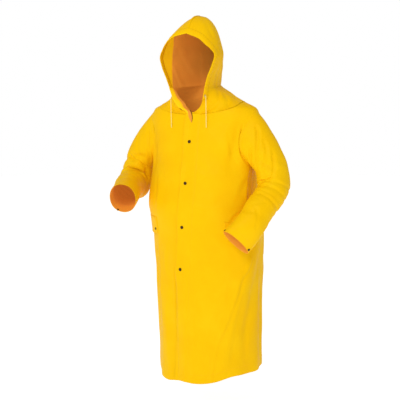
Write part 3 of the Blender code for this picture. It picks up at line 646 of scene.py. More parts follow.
armSteps = 48
bodyRows = np.array(bodySettings["rows"] + (bodySettings["underarm"],))
lowerRows = np.concatenate([
    np.linspace(a, b, max(2, int(round((b - a) / bodySettings["rowStep"]))), endpoint=False)
    for a, b in zip(bodyRows[:-1], bodyRows[1:])
])
armTurn = np.linspace(np.pi, 0, armSteps + 1)
fineRows = np.concatenate((lowerRows, armMiddle + armHalf * np.cos(armTurn), np.linspace(-0.0725, -0.045, 8)))
armLow = len(lowerRows)
quarter = np.pi / 2
rowCut = armholeCut(fineRows)
flapLeftAngle = angleAtX(bodySettings["flapLeft"], fineRows)
flapRightAngle = angleAtX(bodySettings["flapRight"], fineRows)
centreAngle = angleAtX(0.0, fineRows)


def frontAngles(side, edge, count):
    # from the centre line to the flap's line in six steps, then on to the side seam less the armhole's bite
    first = centreAngle[:, None] + (edge - centreAngle)[:, None] * np.linspace(0, 1, 7)[:-1]
    t = np.linspace(0.0, 1.0, count)
    rest = edge[:, None] + (side * quarter - edge)[:, None] * t - side * rowCut[:, None] * t**2
    return np.concatenate((first, rest), 1)


leftAngles = frontAngles(1, flapLeftAngle, 72)
rightAngles = frontAngles(-1, flapRightAngle, 64)
backSteps = np.linspace(-1.0, 1.0, 129)
backAngles = np.pi + quarter * backSteps - rowCut[:, None] * backSteps * np.abs(backSteps)

# creases of the body in (angle, height) lines: route, half width, depth, lean
bodyCreases = (
    # round the front of the left armhole and down to the underarm
    (((56, -.125), (57.5, -.200), (61, -.250), (67.5, -.280), (76, -.302)), 0.007, -0.0080, 0.35),
    (((40, -.150), (44, -.205), (52, -.262), (62, -.318)), 0.013, -0.0025, 0.2),
    # pulls from the underarm down the left side of the chest
    (((84, -.330), (79, -.385), (76, -.440), (78, -.500)), 0.014, -0.0060, 0.3),
    (((80, -.350), (66, -.400), (55, -.470)), 0.016, -0.0030, 0.2),
    # the line along which the left forearm rests on the front
    (((73.7, -.480), (62.9, -.498), (53.8, -.516), (45.2, -.548), (38.7, -.571)), 0.0060, -0.0035, 0.3),
    # round the front of the right armhole
    (((-57, -.120), (-58, -.190), (-62, -.250), (-70, -.290), (-80, -.310)), 0.008, -0.0050, -0.35),
    (((-42, -.170), (-46, -.225), (-55, -.275)), 0.012, -0.0022, 0.2),
    # the long edge where the right side turns away
    (((-40, -.330), (-33, -.400), (-31.5, -.470), (-34, -.540)), 0.017, 0.0035, 0.35),
    (((-41, -.640), (-42.5, -.760), (-41, -.880), (-36, -1.020)), 0.020, 0.0040, 0.35),
    # the trough beside the storm flap, from below the last snap to the hem
    (((-13.5, -.740), (-13.5, -.850), (-14, -1.000), (-14.5, -1.120), (-15, -1.225)), 0.0085, -0.0085, 0.1),
    (((-26, -.900), (-25, -1.020), (-26, -1.150)), 0.016, -0.0030, 0.2),
    # the ridge that runs down and forward from under the raised cuff
    (((71, -.690), (64.5, -.744), (56.9, -.776), (52.3, -.840), (47.7, -.903)), 0.0125, 0.0080, -0.35),
    (((50, -.870), (41, -.970), (34, -1.040), (29, -1.130), (25.5, -1.222)), 0.0140, 0.0085, -0.35),
    (((62, -.840), (56, -.930), (50, -1.040), (47, -1.180)), 0.018, -0.0040, 0.2),
    (((84, -.780), (76, -.900), (72, -1.040), (70, -1.180)), 0.020, 0.0035, 0.3),
    (((20, -.820), (15, -.950), (12, -1.100), (12, -1.210)), 0.020, -0.0022, 0.2),
    # soft breaks over the chest and the waist
    (((12, -.300), (24, -.330), (36, -.325)), 0.016, -0.0016, 0.1),
    (((14, -.450), (28, -.470), (44, -.455)), 0.018, -0.0018, 0.1),
    (((-12, -.330), (-22, -.360), (-31, -.350)), 0.013, -0.0014, 0.1),
    (((30, -.560), (42, -.620), (50, -.700)), 0.020, -0.0022, 0.1),
    (((-16, -.620), (-22, -.700), (-24, -.790)), 0.016, -0.0018, 0.1),
    # left side and back: drags from both armholes, long falls to the hem
    (((118, -.120), (119, -.190), (115, -.250), (106, -.300)), 0.009, -0.0050, -0.3),
    (((128, -.180), (132, -.260), (140, -.340), (150, -.400)), 0.016, -0.0035, 0.3),
    (((110, -.330), (124, -.390), (140, -.420)), 0.014, -0.0040, 0.2),
    (((112, -.480), (116, -.620), (112, -.760)), 0.018, -0.0040, 0.2),
    (((108, -.700), (112, -.860), (116, -1.020), (114, -1.190)), 0.016, -0.0060, 0.2),
    (((130, -.640), (134, -.820), (136, -1.000), (132, -1.200)), 0.020, 0.0050, 0.2),
    (((152, -.560), (156, -.760), (158, -.960), (155, -1.190)), 0.018, -0.0055, 0.2),
    (((172, -.620), (176, -.820), (180, -1.020), (178, -1.200)), 0.022, 0.0045, 0.2),
    (((242, -.120), (241, -.190), (245, -.250), (254, -.300)), 0.009, -0.0050, 0.3),
    (((232, -.190), (228, -.270), (220, -.345), (208, -.400)), 0.016, -0.0035, 0.3),
    (((250, -.335), (236, -.395), (222, -.430)), 0.014, -0.0040, 0.2),
    (((246, -.500), (242, -.640), (247, -.780)), 0.018, -0.0038, 0.2),
    (((250, -.720), (246, -.880), (243, -1.040), (246, -1.200)), 0.016, -0.0058, 0.2),
    (((226, -.660), (222, -.840), (221, -1.010), (225, -1.210)), 0.020, 0.0048, 0.2),
    (((204, -.580), (201, -.780), (199, -.980), (203, -1.200)), 0.018, -0.0052, 0.2),
    (((165, -.090), (180, -.112), (195, -.090)), 0.014, -0.0025, 0.1),
    (((158, -.440), (178, -.465), (198, -.445)), 0.016, -0.0022, 0.1),
    (((-80, -.350), (-70, -.400), (-60, -.460)), 0.014, -0.0035, 0.2),
    (((-70, -.620), (-66, -.780), (-68, -.960), (-66, -1.180)), 0.019, -0.0040, 0.2),
    (((-92, -.560), (-88, -.760), (-90, -.960)), 0.020, 0.0035, 0.2),
)


def bodyLine(route):
    # the body's points for a route of angles in degrees and heights
    return bodyPoint(np.radians(route[:, 0]), route[:, 1])


def dressBody(angles, outside):
    # the smooth form moved along its outward direction by the creases and by slow waves
    smooth = bodyPoint(angles, fineRows[:, None] + 0 * angles)
    out = gridNormals(smooth, outside)
    shift = creaseField(smooth, out, bodyCreases, bodyLine) + slowWaves(smooth, *bodySettings["waves"])
    # the hem hangs in low flutes that die out upwards
    degrees = np.degrees(angles)
    flute = sum(np.sin(np.radians(degrees * waves + start)) * size
                for waves, start, size in bodySettings["flutes"])
    shift = shift + flute * easeStep(1 - (fineRows[:, None] - fineRows[0]) / bodySettings["fluteHeight"])
    return smooth, out, shift


# painted shade on the inside: darker from just above the hem, and painted lighter again towards the neck
hemShade = 0.88 * easeStep((fineRows - fineRows[0] - 0.035) / 0.12)
hemShade = hemShade - 0.42 * easeStep((fineRows + 0.15) / 0.08)
body = {}
for name, node, angles, outside in (
    ("frontLeft", "front_left", leftAngles, 1), ("frontRight", "front_right", rightAngles, -1),
    ("backPanel", "back", backAngles, 1),
):
    form, out, shift = dressBody(angles, outside)
    grid = form + out * shift[..., None]
    body[name] = {"form": form, "out": out, "shift": shift, "outside": outside,
                  "grid": grid, "normals": gridNormals(grid, outside)}
    clothPiece(name, node, grid, outside, hemShade[:, None])
print("fronts and back built")

# storm flap over both front edges, slit at the neck where the fastening ends
flapSettings = {
    "lift": 0.0019, "edgeStand": 0.0030, "wall": 0.0022, "sewnSink": 0.0028,
    "ripples": ((31.0, 0.0, 0.0011), (57.0, 1.0, 0.0007)),
    # the slit: its share of the flap's width where it isn't drawn aside, then height, share
    "slitShare": 0.477,
    "slit": ((-0.150, 0.462), (-0.137, 0.462), (-0.113, 0.500), (-0.090, 0.430)),
    # the line below which the corner beside the slit stays up: x, height
    "corner": ((-0.030, -0.080), (-0.018, -0.091), (-0.004, -0.115), (0.0099, -0.138)),
}
flapShares = np.concatenate((np.linspace(0.0, 0.10, 5)[:-1], np.linspace(0.10, 0.47, 10), (0.484,),
                             np.linspace(0.51, 1.0, 12)))
frontHeights = seamHeight(centreAngle, fineRows)
toSlit = np.interp(frontHeights, *np.transpose(flapSettings["slit"])) - flapSettings["slitShare"]
toSlit = toSlit * easeStep((frontHeights + 0.155) / 0.015)
flapSpread = flapShares + toSlit[:, None] * bell(flapShares - flapSettings["slitShare"], 0.12)
flapAngles = flapRightAngle[:, None] + (flapLeftAngle - flapRightAngle)[:, None] * flapSpread
flapForm, flapOut, flapShift = dressBody(flapAngles, 1)
freeEdge = (1 - easeStep(flapShares / 0.35))[None]
ripple = sum(size * np.sin(fineRows * rate + start) for rate, start, size in flapSettings["ripples"])[:, None]
flapShift = flapShift * (0.35 + 0.65 * easeStep(flapShares / 0.5)[None]) + flapSettings["lift"]
flapShift = flapShift + freeEdge * (flapSettings["edgeStand"] + ripple)
flapShift = flapShift - flapSettings["sewnSink"] * (1 - easeStep((1 - flapShares) / 0.20))[None]
# beside the slit the corner sinks in under the turned edge, and the other side stands up as a low lip
flapHeights = flapForm[..., 2]
cornerHeight = np.interp(flapForm[..., 0], *np.transpose(flapSettings["corner"]))
sunk = easeStep((flapHeights - cornerHeight) / 0.008) * (flapShares < 0.4705)[None]
flapShift = flapShift * (1 - sunk) + 0.0002 * sunk
flapShift = flapShift + 0.0008 * bell(flapShares - 0.53, 0.06)[None] * easeStep((flapHeights + 0.145) / 0.02)
flapGrid = flapForm + flapOut * flapShift[..., None]
clothPiece("stormFlap", "storm_flap", flapGrid, 1, wall=flapSettings["wall"])
print("storm flap built")

# pocket flaps made from their fronts' own points, moved out, lower corners rounded
pocketSettings = {
    "top": -0.540, "bottom": -0.617, "width": 0.153, "rows": 26, "columns": 44, "corner": 0.016,
    "wall": 0.0016, "lift": 0.0014, "stand": 0.0036, "ripple": 0.0008,
}


def pocketFlap(name, node, front, columns):
    # rows between top and bottom of the flap, lifted clear of the front, standing off towards the lower edge
    rows, count, corner = (pocketSettings[key] for key in ("rows", "columns", "corner"))
    levels = np.linspace(pocketSettings["bottom"], pocketSettings["top"], rows)
    rowAt = np.interp(levels, fineRows, np.arange(len(fineRows)))
    columnAt = np.linspace(*columns, count)
    across = np.minimum(np.arange(count), np.arange(count)[::-1]) / (count - 1) * pocketSettings["width"]
    cornerCut = corner - np.sqrt(np.clip(corner**2 - np.clip(corner - across, 0, None) ** 2, 0, None))
    lowT = cornerCut[None] / (levels[-1] - levels[0])
    t = lowT + (1 - lowT) * np.linspace(0, 1, rows)[:, None]
    rowGrid = rowAt[0] + (rowAt[-1] - rowAt[0]) * t
    columnGrid = np.broadcast_to(columnAt, rowGrid.shape)
    base = spotOn(front["form"], rowGrid, columnGrid)
    away = unitOf(spotOn(front["out"], rowGrid, columnGrid))
    move = spotOn(front["shift"][..., None], rowGrid, columnGrid)[..., 0]
    curl = pocketSettings["stand"] + pocketSettings["ripple"] * np.sin(columnGrid * 0.55)
    curl = curl * (1 - t) * easeStep(across / 0.05)
    grid = base + away * (np.maximum(move, -0.002) + pocketSettings["lift"] + curl)[..., None]
    clothPiece(name, node, grid, front["outside"], wall=pocketSettings["wall"])
    return grid, gridNormals(grid, front["outside"])


# from three to seven eighths of the way from the storm flap to the side seam
flapSpan = np.array((3, 7)) / 8.0
pocketLeft = pocketFlap("pocketFlapLeft", "pocket_flap_left", body["frontLeft"], 6 + 71 * flapSpan)
pocketRight = pocketFlap("pocketFlapRight", "pocket_flap_right", body["frontRight"], 6 + 63 * flapSpan)
print("pocket flaps built")

# creases of the hidden side that both sleeves have
sharedCreases = (
    (((.06, 222), (.13, 240), (.19, 262), (.23, 300)), 0.0090, -0.0055, 0.3),
    (((.15, 215), (.23, 232), (.30, 262), (.36, 300)), 0.0095, -0.0040, 0.3),
)
# sleeves: stations of x, y, z, half across, half deep
sleeveSettings = {
    "left": {
        "side": 1, "flat": (0.70, -0.70, 0.05), "slant": 0.011, "outside": -1,
        "stations": (
            (0.236, 0.000, -0.190, 0.095, 0.095), (0.262, 0.002, -0.240, 0.070, 0.070),
            (0.301, 0.006, -0.304, 0.072, 0.072), (0.335, 0.000, -0.385, 0.067, 0.069),
            (0.315, -0.074, -0.472, 0.061, 0.060), (0.286, -0.136, -0.554, 0.063, 0.050),
            (0.251, -0.173, -0.610, 0.067, 0.030),
        ),
        # broad folds: share, angle round, half share, half angle, lean, depth
        "folds": (
            (0.22, 95.0, 0.10, 14.0, 30.0, -0.009), (0.26, 140.0, 0.12, 14.0, 60.0, -0.002),
            (0.52, 20.0, 0.020, 60.0, 0.0, -0.006), (0.58, 40.0, 0.018, 55.0, 0.0, -0.003),
            (0.74, 100.0, 0.035, 70.0, 0.0, -0.004), (0.13, 175.0, 0.070, 45.0, 0.0, -0.010),
            (0.30, 170.0, 0.080, 45.0, 0.0, 0.006),
        ),
        # creases in (share, angle round): route, half width, depth, lean
        "creases": (
            (((.06, 138), (.088, 133), (.162, 106), (.230, 78), (.269, 59)), 0.0070, -0.0070, 0.35),
            (((.115, 100), (.145, 84), (.175, 52), (.213, 36), (.350, 25)), 0.0065, -0.0060, 0.2),
            (((.13, 136), (.200, 126), (.238, 113), (.281, 94), (.369, 74)), 0.0075, -0.0048, 0.3),
            (((.20, 143), (.262, 133), (.325, 122), (.400, 106), (.456, 90)), 0.0075, -0.0058, 0.35),
            (((.24, 168), (.300, 167), (.370, 148)), 0.0130, -0.0008, 0.2),
            (((.480, 58), (.420, 72), (.356, 86), (.325, 97)), 0.0070, -0.0055, -0.3),
            (((.500, 55), (.470, 76), (.413, 97), (.385, 112)), 0.0065, -0.0048, -0.3),
            (((.530, 40), (.545, 62), (.545, 84), (.53, 100)), 0.0080, -0.0030, 0.3),
            (((.640, 62), (.620, 86), (.600, 104), (.585, 122)), 0.0085, -0.0016, 0.3),
            (((.715, 82), (.690, 106), (.655, 128), (.632, 144)), 0.0090, -0.0016, 0.3),
            (((.760, 60), (.770, 90), (.745, 118)), 0.0080, -0.0020, 0.2),
            (((.705, 110), (.769, 139), (.850, 158)), 0.0080, -0.0024, 0.2),
            (((.44, 330), (.47, 5), (.50, 40)), 0.0080, -0.0034, 0.2),
            (((.50, 325), (.54, 0), (.56, 35)), 0.0080, -0.0030, 0.2),
            (((.58, 320), (.60, 350), (.61, 20)), 0.0080, -0.0045, 0.2),
            *sharedCreases,
            (((.26, 205), (.36, 222), (.44, 255), (.49, 300)), 0.0090, -0.0050, 0.3),
            (((.40, 212), (.46, 232), (.50, 262)), 0.0100, -0.0030, 0.2),
            (((.60, 214), (.64, 246), (.66, 284)), 0.0090, -0.0030, 0.2),
            (((.70, 204), (.76, 232), (.80, 268)), 0.0090, -0.0028, 0.2),
        ),
    },
    "right": {
        "side": -1, "flat": (1.00, 0.00, 0.00), "slant": 0.0, "outside": 1,
        "stations": (
            (-0.234, 0.000, -0.190, 0.095, 0.095), (-0.270, 0.000, -0.238, 0.071, 0.071),
            (-0.318, 0.000, -0.300, 0.072, 0.072), (-0.344, -0.018, -0.376, 0.068, 0.069),
            (-0.324, -0.098, -0.416, 0.064, 0.064), (-0.280, -0.182, -0.434, 0.064, 0.060),
            (-0.250, -0.250, -0.453, 0.065, 0.057),
        ),
        "folds": (
            (0.24, 80.0, 0.11, 14.0, 30.0, -0.009), (0.30, 125.0, 0.10, 14.0, 60.0, -0.008),
            (0.52, 60.0, 0.022, 60.0, 0.0, -0.003), (0.60, 80.0, 0.018, 55.0, 0.0, -0.003),
            (0.80, 100.0, 0.030, 70.0, 0.0, -0.004), (0.52, 305.0, 0.120, 40.0, 0.0, 0.020),
        ),
        "creases": (
            (((.055, 120), (.075, 104), (.090, 82), (.105, 45), (.16, 25)), 0.0080, -0.0065, -0.35),
            (((.14, 134), (.175, 118), (.219, 93), (.250, 70)), 0.0090, -0.0035, 0.2),
            (((.275, 140), (.287, 115), (.288, 92), (.276, 66), (.300, 40), (.360, 26)),
             0.0080, -0.0100, -0.35),
            (((.350, 128), (.375, 105), (.405, 75), (.44, 50)), 0.0120, -0.0014, -0.3),
            (((.330, 36), (.420, 24), (.520, 6), (.600, 344)), 0.0130, -0.0085, 0.2),
            (((.43, 120), (.47, 90), (.50, 60), (.53, 30)), 0.0100, -0.0028, 0.3),
            (((.52, 118), (.57, 90), (.60, 55), (.61, 20)), 0.0095, -0.0030, 0.3),
            (((.65, 120), (.70, 85), (.72, 50)), 0.0090, -0.0030, 0.2),
            (((.80, 110), (.84, 80), (.86, 40)), 0.0080, -0.0022, 0.2),
            (((.44, 335), (.47, 5), (.50, 35)), 0.0080, -0.0060, 0.2),
            (((.53, 330), (.56, 0), (.59, 28)), 0.0080, -0.0055, 0.2),
            *sharedCreases,
            (((.27, 208), (.36, 226), (.43, 258), (.47, 300)), 0.0090, -0.0048, 0.3),
            (((.20, 165), (.30, 172), (.40, 160)), 0.0100, -0.0028, 0.2),
            (((.42, 190), (.50, 215), (.55, 250)), 0.0100, -0.0030, 0.2),
            (((.62, 180), (.67, 225), (.70, 270)), 0.0090, -0.0030, 0.2),
            (((.76, 190), (.82, 230), (.85, 275)), 0.0090, -0.0026, 0.2),
        ),
    },
}
# for both sleeves: the shares by which the rings fan out and turn oval, the bend under the arm (out, down),
# where along the sleeve its hold ends, from where the cuff slants, and by which share the creases are full
sleeveShape = {
    "rows": 201, "waves": (0.0010, 12.0, 5), "fanTo": 0.30, "ovalTo": 0.34,
    "underarm": (0.026, -0.034), "holdTo": 0.26, "holdFade": 0.16, "slantFrom": 0.78, "creasesFull": 0.035,
}
sleeveRows = sleeveShape["rows"]
ringCount = 2 * armSteps


def sleeveForm(settings):
    # rings from the armhole's own loop to an oval; the axis is a spline through the stations and the rings
    # do not twist
    side = settings["side"]
    stations = np.array(settings["stations"])
    heights = fineRows[armLow: armLow + armSteps + 1]
    reach = armholeCut(heights)
    frontEdge = bodyPoint(side * (quarter - reach), heights)
    backEdge = bodyPoint(side * (quarter + reach), heights)
    loop = np.concatenate((frontEdge, backEdge[-2:0:-1]))
    place = lengthAlong(stations[:, :3])
    share = np.linspace(0.0, 1.0, sleeveRows)
    line = splineThrough(place, stations[:, :3], share * place[-1])
    sizes = curveThrough(place, stations[:, 3:5], share * place[-1])
    fan = easeStep(share / sleeveShape["fanTo"])[:, None]
    ahead = unitOf((1 - fan) * np.array((side, 0.0, 0.0)) + fan * unitOf(np.gradient(line, axis=0)))
    down = np.zeros_like(ahead)
    carried = np.array((0.0, 0.0, -1.0))
    for i in range(sleeveRows):
        carried = carried - ahead[i] * np.dot(carried, ahead[i])
        carried = carried / np.linalg.norm(carried)
        down[i] = carried
    front = np.cross(ahead, down) * (-side)
    turn = evenTurn(ringCount)
    fromCentre = loop - line[0]
    loopV, loopU, loopW = fromCentre @ down[0], fromCentre @ front[0], fromCentre @ ahead[0]
    a = share[:, None]
    blend = easeStep(a / sleeveShape["ovalTo"])
    fold = np.zeros((sleeveRows, ringCount))
    for fa, fr, la, lr, lean, deep in settings["folds"]:
        off = halfTurns(np.degrees(turn)[None] - fr - lean * (a - fa) * 10)
        fold = fold + deep * np.exp(-((off / lr) ** 2) - ((a - fa) / la) ** 2)
    wide, deepHalf = sizes[:, :1], sizes[:, 1:]
    even = (wide + deepHalf) / 2
    v = (1 - blend) * loopV + blend * (even + fold) * np.cos(turn)
    u = (1 - blend) * loopU + blend * (even + fold) * np.sin(turn)
    w = (1 - blend) * loopW
    # the underarm stays put while the sleeve leaves the body
    hold = 1 - easeStep((a - sleeveShape["holdTo"]) / sleeveShape["holdFade"])
    outwards, downwards = sleeveShape["underarm"]
    pivot = loop[0] + np.array((side * outwards, 0.0, downwards)) * blend - line
    pivotDown = np.sum(pivot * down, axis=1, keepdims=True)
    pivotAhead = np.sum(pivot * ahead, axis=1, keepdims=True)
    under = np.clip(np.cos(turn), 0.0, 1.0)[None]
    v = np.where(v > 0, v * (1 + hold * (pivotDown / v[:, :1] - 1)), v)
    w = w + hold * (pivotAhead - w[:, :1]) * under**2
    offset = v[..., None] * down[:, None] + u[..., None] * front[:, None] + w[..., None] * ahead[:, None]
    press = unitOf(np.array(settings["flat"]))
    axis = unitOf(press - ahead * (ahead @ press)[:, None])
    other = np.cross(ahead, axis)
    inPress = np.sum(offset * axis[:, None], axis=-1, keepdims=True) * axis[:, None]
    outPress = np.sum(offset * other[:, None], axis=-1, keepdims=True) * other[:, None]
    offset = offset + (
        inPress * (deepHalf / even - 1)[..., None] + outPress * (wide / even - 1)[..., None]
    ) * blend[..., None]
    # towards the cuff the near lip is drawn up and the far lip let down by the slant
    tip = settings["slant"] * easeStep((a - sleeveShape["slantFrom"]) / (1 - sleeveShape["slantFrom"]))
    lean = np.sum(offset * axis[:, None], axis=-1) / deepHalf * tip
    grid = line[:, None] + offset - lean[..., None] * ahead[:, None]
    grid[0] = loop
    return grid


def buildSleeve(name, node, settings):
    # the form moved along its outward direction by the creases and by slow waves
    form = sleeveForm(settings)
    out = gridNormals(form, settings["outside"], ring=True)
    out[0] = out[1]

    def sleeveLine(route):
        # the form's points for a route of shares and angles round in degrees
        return spotOn(np.concatenate((form, form[:, :1]), 1), route[:, 0] * (sleeveRows - 1),
                      route[:, 1] / 360.0 * ringCount)

    share = np.linspace(0.0, 1.0, sleeveRows)[:, None]
    shift = creaseField(form, out, settings["creases"], sleeveLine) + slowWaves(form, *sleeveShape["waves"])
    shift = shift * easeStep(share / sleeveShape["creasesFull"])
    grid = form + out * shift[..., None]
    # painted shade on the inside, a little darker further up the sleeve
    inward = 0.38 + 0.10 * (1 - easeStep((share - 0.55) / 0.38))
    clothPiece(name, node, grid, settings["outside"], inward, ring=True)
    return grid, gridNormals(grid, settings["outside"], ring=True)


sleeveLeft = buildSleeve("sleeveLeft", "sleeve_left", sleeveSettings["left"])
sleeveRight = buildSleeve("sleeveRight", "sleeve_right", sleeveSettings["right"])
print("sleeves built")

# hood: face edge (share, half width, y, z) and centre seam (share, back y, z, fullness, turn of the end)
hoodSettings = {
    "rim": (
        (0.000, 0.000, -0.1040, -0.0950), (0.100, 0.030, -0.1090, -0.0830), (0.180, 0.055, -0.1150, -0.0620),
        (0.250, 0.068, -0.1220, -0.0390), (0.350, 0.081, -0.1280, 0.0100), (0.450, 0.095, -0.1310, 0.0530),
        (0.550, 0.116, -0.1320, 0.0980), (0.660, 0.130, -0.1320, 0.1430), (0.750, 0.118, -0.1330, 0.1740),
        (0.830, 0.096, -0.1340, 0.2000), (0.910, 0.062, -0.1350, 0.2210), (1.000, 0.000, -0.1370, 0.2310),
    ),
    # how much wider the right side of the face edge falls
    "rightExtra": ((0.00, 0.000), (0.25, 0.004), (0.45, 0.009), (0.60, 0.006), (0.75, 0.000), (1.00, 0.000)),
    # how the left side of the face edge hangs: share, loss of half width, drop
    "leftHang": ((0.00, 0.000, 0.000), (0.60, 0.000, 0.000), (0.75, 0.008, 0.010), (0.83, 0.010, 0.017),
                 (0.91, 0.006, 0.013), (1.00, 0.000, 0.000)),
    "seam": (
        (0.00, 0.092, -0.027, 0.00, 0.0), (0.35, 0.104, 0.035, 0.80, 0.0), (0.50, 0.096, 0.100, 0.63, 0.0),
        (0.66, 0.077, 0.175, 0.34, 6.0), (0.78, 0.060, 0.248, 0.45, 18.0), (0.88, 0.044, 0.297, 0.60, 40.0),
        (0.95, 0.018, 0.313, 0.68, 64.0), (1.00, -0.028, 0.313, 0.60, 90.0),
    ),
    "footShare": 0.35,
    # how far from the face edge the inside stays yellow before its painted shade begins, by share
    "paintedShadeFrom": ((0.0, 0.015), (0.34, 0.020), (0.43, 0.040), (0.53, 0.065), (0.63, 0.078), (0.75, 0.071),
                   (0.83, 0.056), (0.90, 0.035), (1.0, 0.020)),
    "casingWidth": 0.025,
    "columns": 19,
    "waves": (0.0011, 9.0, 3),
    # how many times its hang the arc's first handle rises
    "handleRise": 1.8,
    # creases in (share, column of 18): route, half width, depth, lean
    "creasesLeft": (
        (((.02, 2.0), (.10, 3.2), (.20, 4.6), (.30, 6.0)), 0.010, -0.0050, 0.2),
        (((.03, 5.0), (.12, 6.0), (.24, 7.0)), 0.011, -0.0040, 0.2),
        (((.05, 9.0), (.14, 10.0), (.26, 10.5)), 0.012, -0.0040, 0.2),
        (((.05, 13.0), (.16, 13.5), (.30, 13.0)), 0.012, -0.0035, 0.2),
        (((.30, 7.0), (.42, 6.0), (.55, 5.5)), 0.014, -0.0028, 0.2),
        (((.45, 12.0), (.58, 10.0), (.70, 8.5)), 0.016, -0.0026, 0.2),
        (((.62, 5.0), (.76, 7.0), (.86, 10.0)), 0.015, -0.0024, 0.2),
        (((.80, 4.0), (.88, 6.0), (.94, 9.5)), 0.012, -0.0022, 0.2),
        (((.34, 15.0), (.50, 15.5), (.66, 15.0)), 0.014, -0.0025, 0.2),
    ),
    "creasesRight": (
        (((.02, 2.0), (.09, 3.4), (.18, 4.8), (.28, 6.2)), 0.010, -0.0050, 0.2),
        (((.03, 5.4), (.13, 6.2), (.25, 7.4)), 0.011, -0.0040, 0.2),
        (((.05, 9.5), (.15, 10.4), (.27, 10.8)), 0.012, -0.0038, 0.2),
        (((.05, 13.4), (.17, 13.0), (.30, 13.4)), 0.012, -0.0034, 0.2),
        (((.32, 7.2), (.44, 6.2), (.57, 5.8)), 0.014, -0.0028, 0.2),
        (((.47, 12.4), (.60, 10.4), (.72, 8.8)), 0.016, -0.0026, 0.2),
        (((.64, 5.4), (.77, 7.4), (.87, 10.4)), 0.015, -0.0024, 0.2),
        (((.36, 15.4), (.52, 15.0), (.66, 15.4)), 0.014, -0.0025, 0.2),
    ),
}
columnSteps = np.concatenate((np.linspace(0, 2, 13)[:-1], np.linspace(2, 18, 73)))
shareSteps = np.concatenate((np.linspace(0, 0.35, 26)[:-1], np.linspace(0.35, 1.0, 84)))


def hoodRib(share, extra, hang):
    # a cubic arc from the face edge to the centre seam, its points set out by length, the first 25 mm being
    # the casing; where the edge hangs, the arc's first handle rises by a multiple of it and keeps the
    # crown up
    half, y, z = fromTable(hoodSettings["rim"], np.array((share,)))[0]
    half = half + extra - hang[0]
    z = z - hang[1]
    backY, backZ, full, turn = fromTable(hoodSettings["seam"], np.array((share,)))[0]
    start = np.array((half, y, z))
    end = np.array((0.0, backY, backZ))
    top = easeStep((share - 0.62) / 0.38)
    reach = np.linalg.norm(end - start)
    leave = unitOf(np.array((0.10 * (1 - top), 1.0 - 0.45 * top, 0.95 * top + 0.05)))
    leave = leave * reach * (0.52 - 0.10 * top)
    swing = np.radians(turn)
    arrive = np.array((np.cos(swing), -np.sin(swing), 0.0)) * full
    arrive = arrive * (max(half, 0.075) * 0.62 + 0.030 * top) * 1.35
    one = start + leave + np.array((hang[0], 0.0, hang[1])) * hoodSettings["handleRise"]
    dense = cubicArc(start, one, end + arrive, end, 241)
    run = lengthAlong(dense)
    width = hoodSettings["casingWidth"]
    marks = np.concatenate(((0.0, width / 2), np.linspace(width, run[-1], hoodSettings["columns"] - 2)))
    marks = np.interp(columnSteps, np.arange(hoodSettings["columns"]), marks)
    return placesAt(marks, run, dense)


def hoodForm(side, topAngles):
    # below the foot share the ribs blend straight from the neck seam's points to the foot rib
    flip = np.array((side, 1.0, 1.0))
    angles = np.interp(columnSteps, np.arange(len(topAngles)), topAngles)
    ring = bodyPoint(angles, np.full(len(angles), bodySettings["neckSeam"]))
    footShare = hoodSettings["footShare"]
    wider = fromTable(hoodSettings["rightExtra"], shareSteps) * (side < 0)
    lower = fromTable(hoodSettings["leftHang"], shareSteps) * (side > 0)
    foot = hoodRib(footShare, float(np.interp(footShare, shareSteps, wider)), np.zeros(2)) * flip
    ribs = []
    for share, extra, hang in zip(shareSteps, wider, lower):
        if share < footShare:
            t = share / footShare
            made = ring + (foot - ring) * t
            edge = (fromTable(hoodSettings["rim"], np.array((share,)))[0] + (extra, 0, 0)) * flip
            fade = (1 - columnSteps / 18.0) ** 3
            made = made + (edge - made[0]) * fade[:, None] * min(1.0, t * 8)
        else:
            made = hoodRib(share, extra, hang) * flip
        ribs.append(made)
    grid = np.stack(ribs)
    grid[1:, -1, 0] = 0.0
    grid[-1, :, 0] = 0.0
    return grid


def neckAngles(side, flapX, flapAngle):
    # from the centre line by half the flap's width to its line, the side seam and the centre of the back
    half = angleAtX(flapX / 2, fineRows[-1:])[0]
    sideSeam = side * quarter
    return np.concatenate(((centreAngle[-1], half), np.linspace(flapAngle[-1], sideSeam, 9),
                           np.linspace(sideSeam, side * np.pi, 9)[1:]))


def buildHood(name, node, side, angles, creases):
    # the form with its creases; the inside is yellow near the face edge and painted with shade further back
    form = hoodForm(side, angles)
    out = gridNormals(form, side)

    def hoodLine(route):
        # the form's points for a route of shares and columns
        return spotOn(form, np.interp(route[:, 0], shareSteps, np.arange(len(shareSteps))),
                      np.interp(route[:, 1], columnSteps, np.arange(len(columnSteps))))

    shift = creaseField(form, out, creases, hoodLine) + slowWaves(form, *hoodSettings["waves"])
    # nothing moves at the centre seam, at the face edge and at the neck seam
    shift = shift * easeStep((18 - columnSteps) / 1.2) * easeStep(columnSteps / 2.5)
    shift = shift * (easeStep((1 - shareSteps) / 0.03) * easeStep(shareSteps / 0.03))[:, None]
    grid = form + out * shift[..., None]
    fromRim = np.concatenate((np.zeros((len(shareSteps), 1)),
                              np.cumsum(np.linalg.norm(np.diff(form, axis=1), axis=-1), axis=1)), 1)
    edge = np.interp(shareSteps, *np.transpose(hoodSettings["paintedShadeFrom"]))[:, None]
    # painted shade: none by the face edge, a step then a slow rise further back, held lighter low in the hood
    inward = 0.40 * easeStep((fromRim - edge) / 0.010) + 0.50 * np.clip((fromRim - edge) / 0.200, 0.0, 1.0)
    inward = inward - np.maximum(inward - 0.46, 0.0) * easeStep((0.58 - shareSteps) / 0.34)[:, None]
    clothPiece(name, node, grid, side, inward)
    return form, out, grid, gridNormals(grid, side)


leftForm, leftOut, hoodLeftGrid, hoodLeftNow = buildHood(
    "hoodLeft", "hood_left", 1, neckAngles(1, bodySettings["flapLeft"], flapLeftAngle),
    hoodSettings["creasesLeft"])
rightForm, rightOut, hoodRightGrid, hoodRightNow = buildHood(
    "hoodRight", "hood_right", -1, neckAngles(-1, bodySettings["flapRight"], flapRightAngle),
    hoodSettings["creasesRight"])

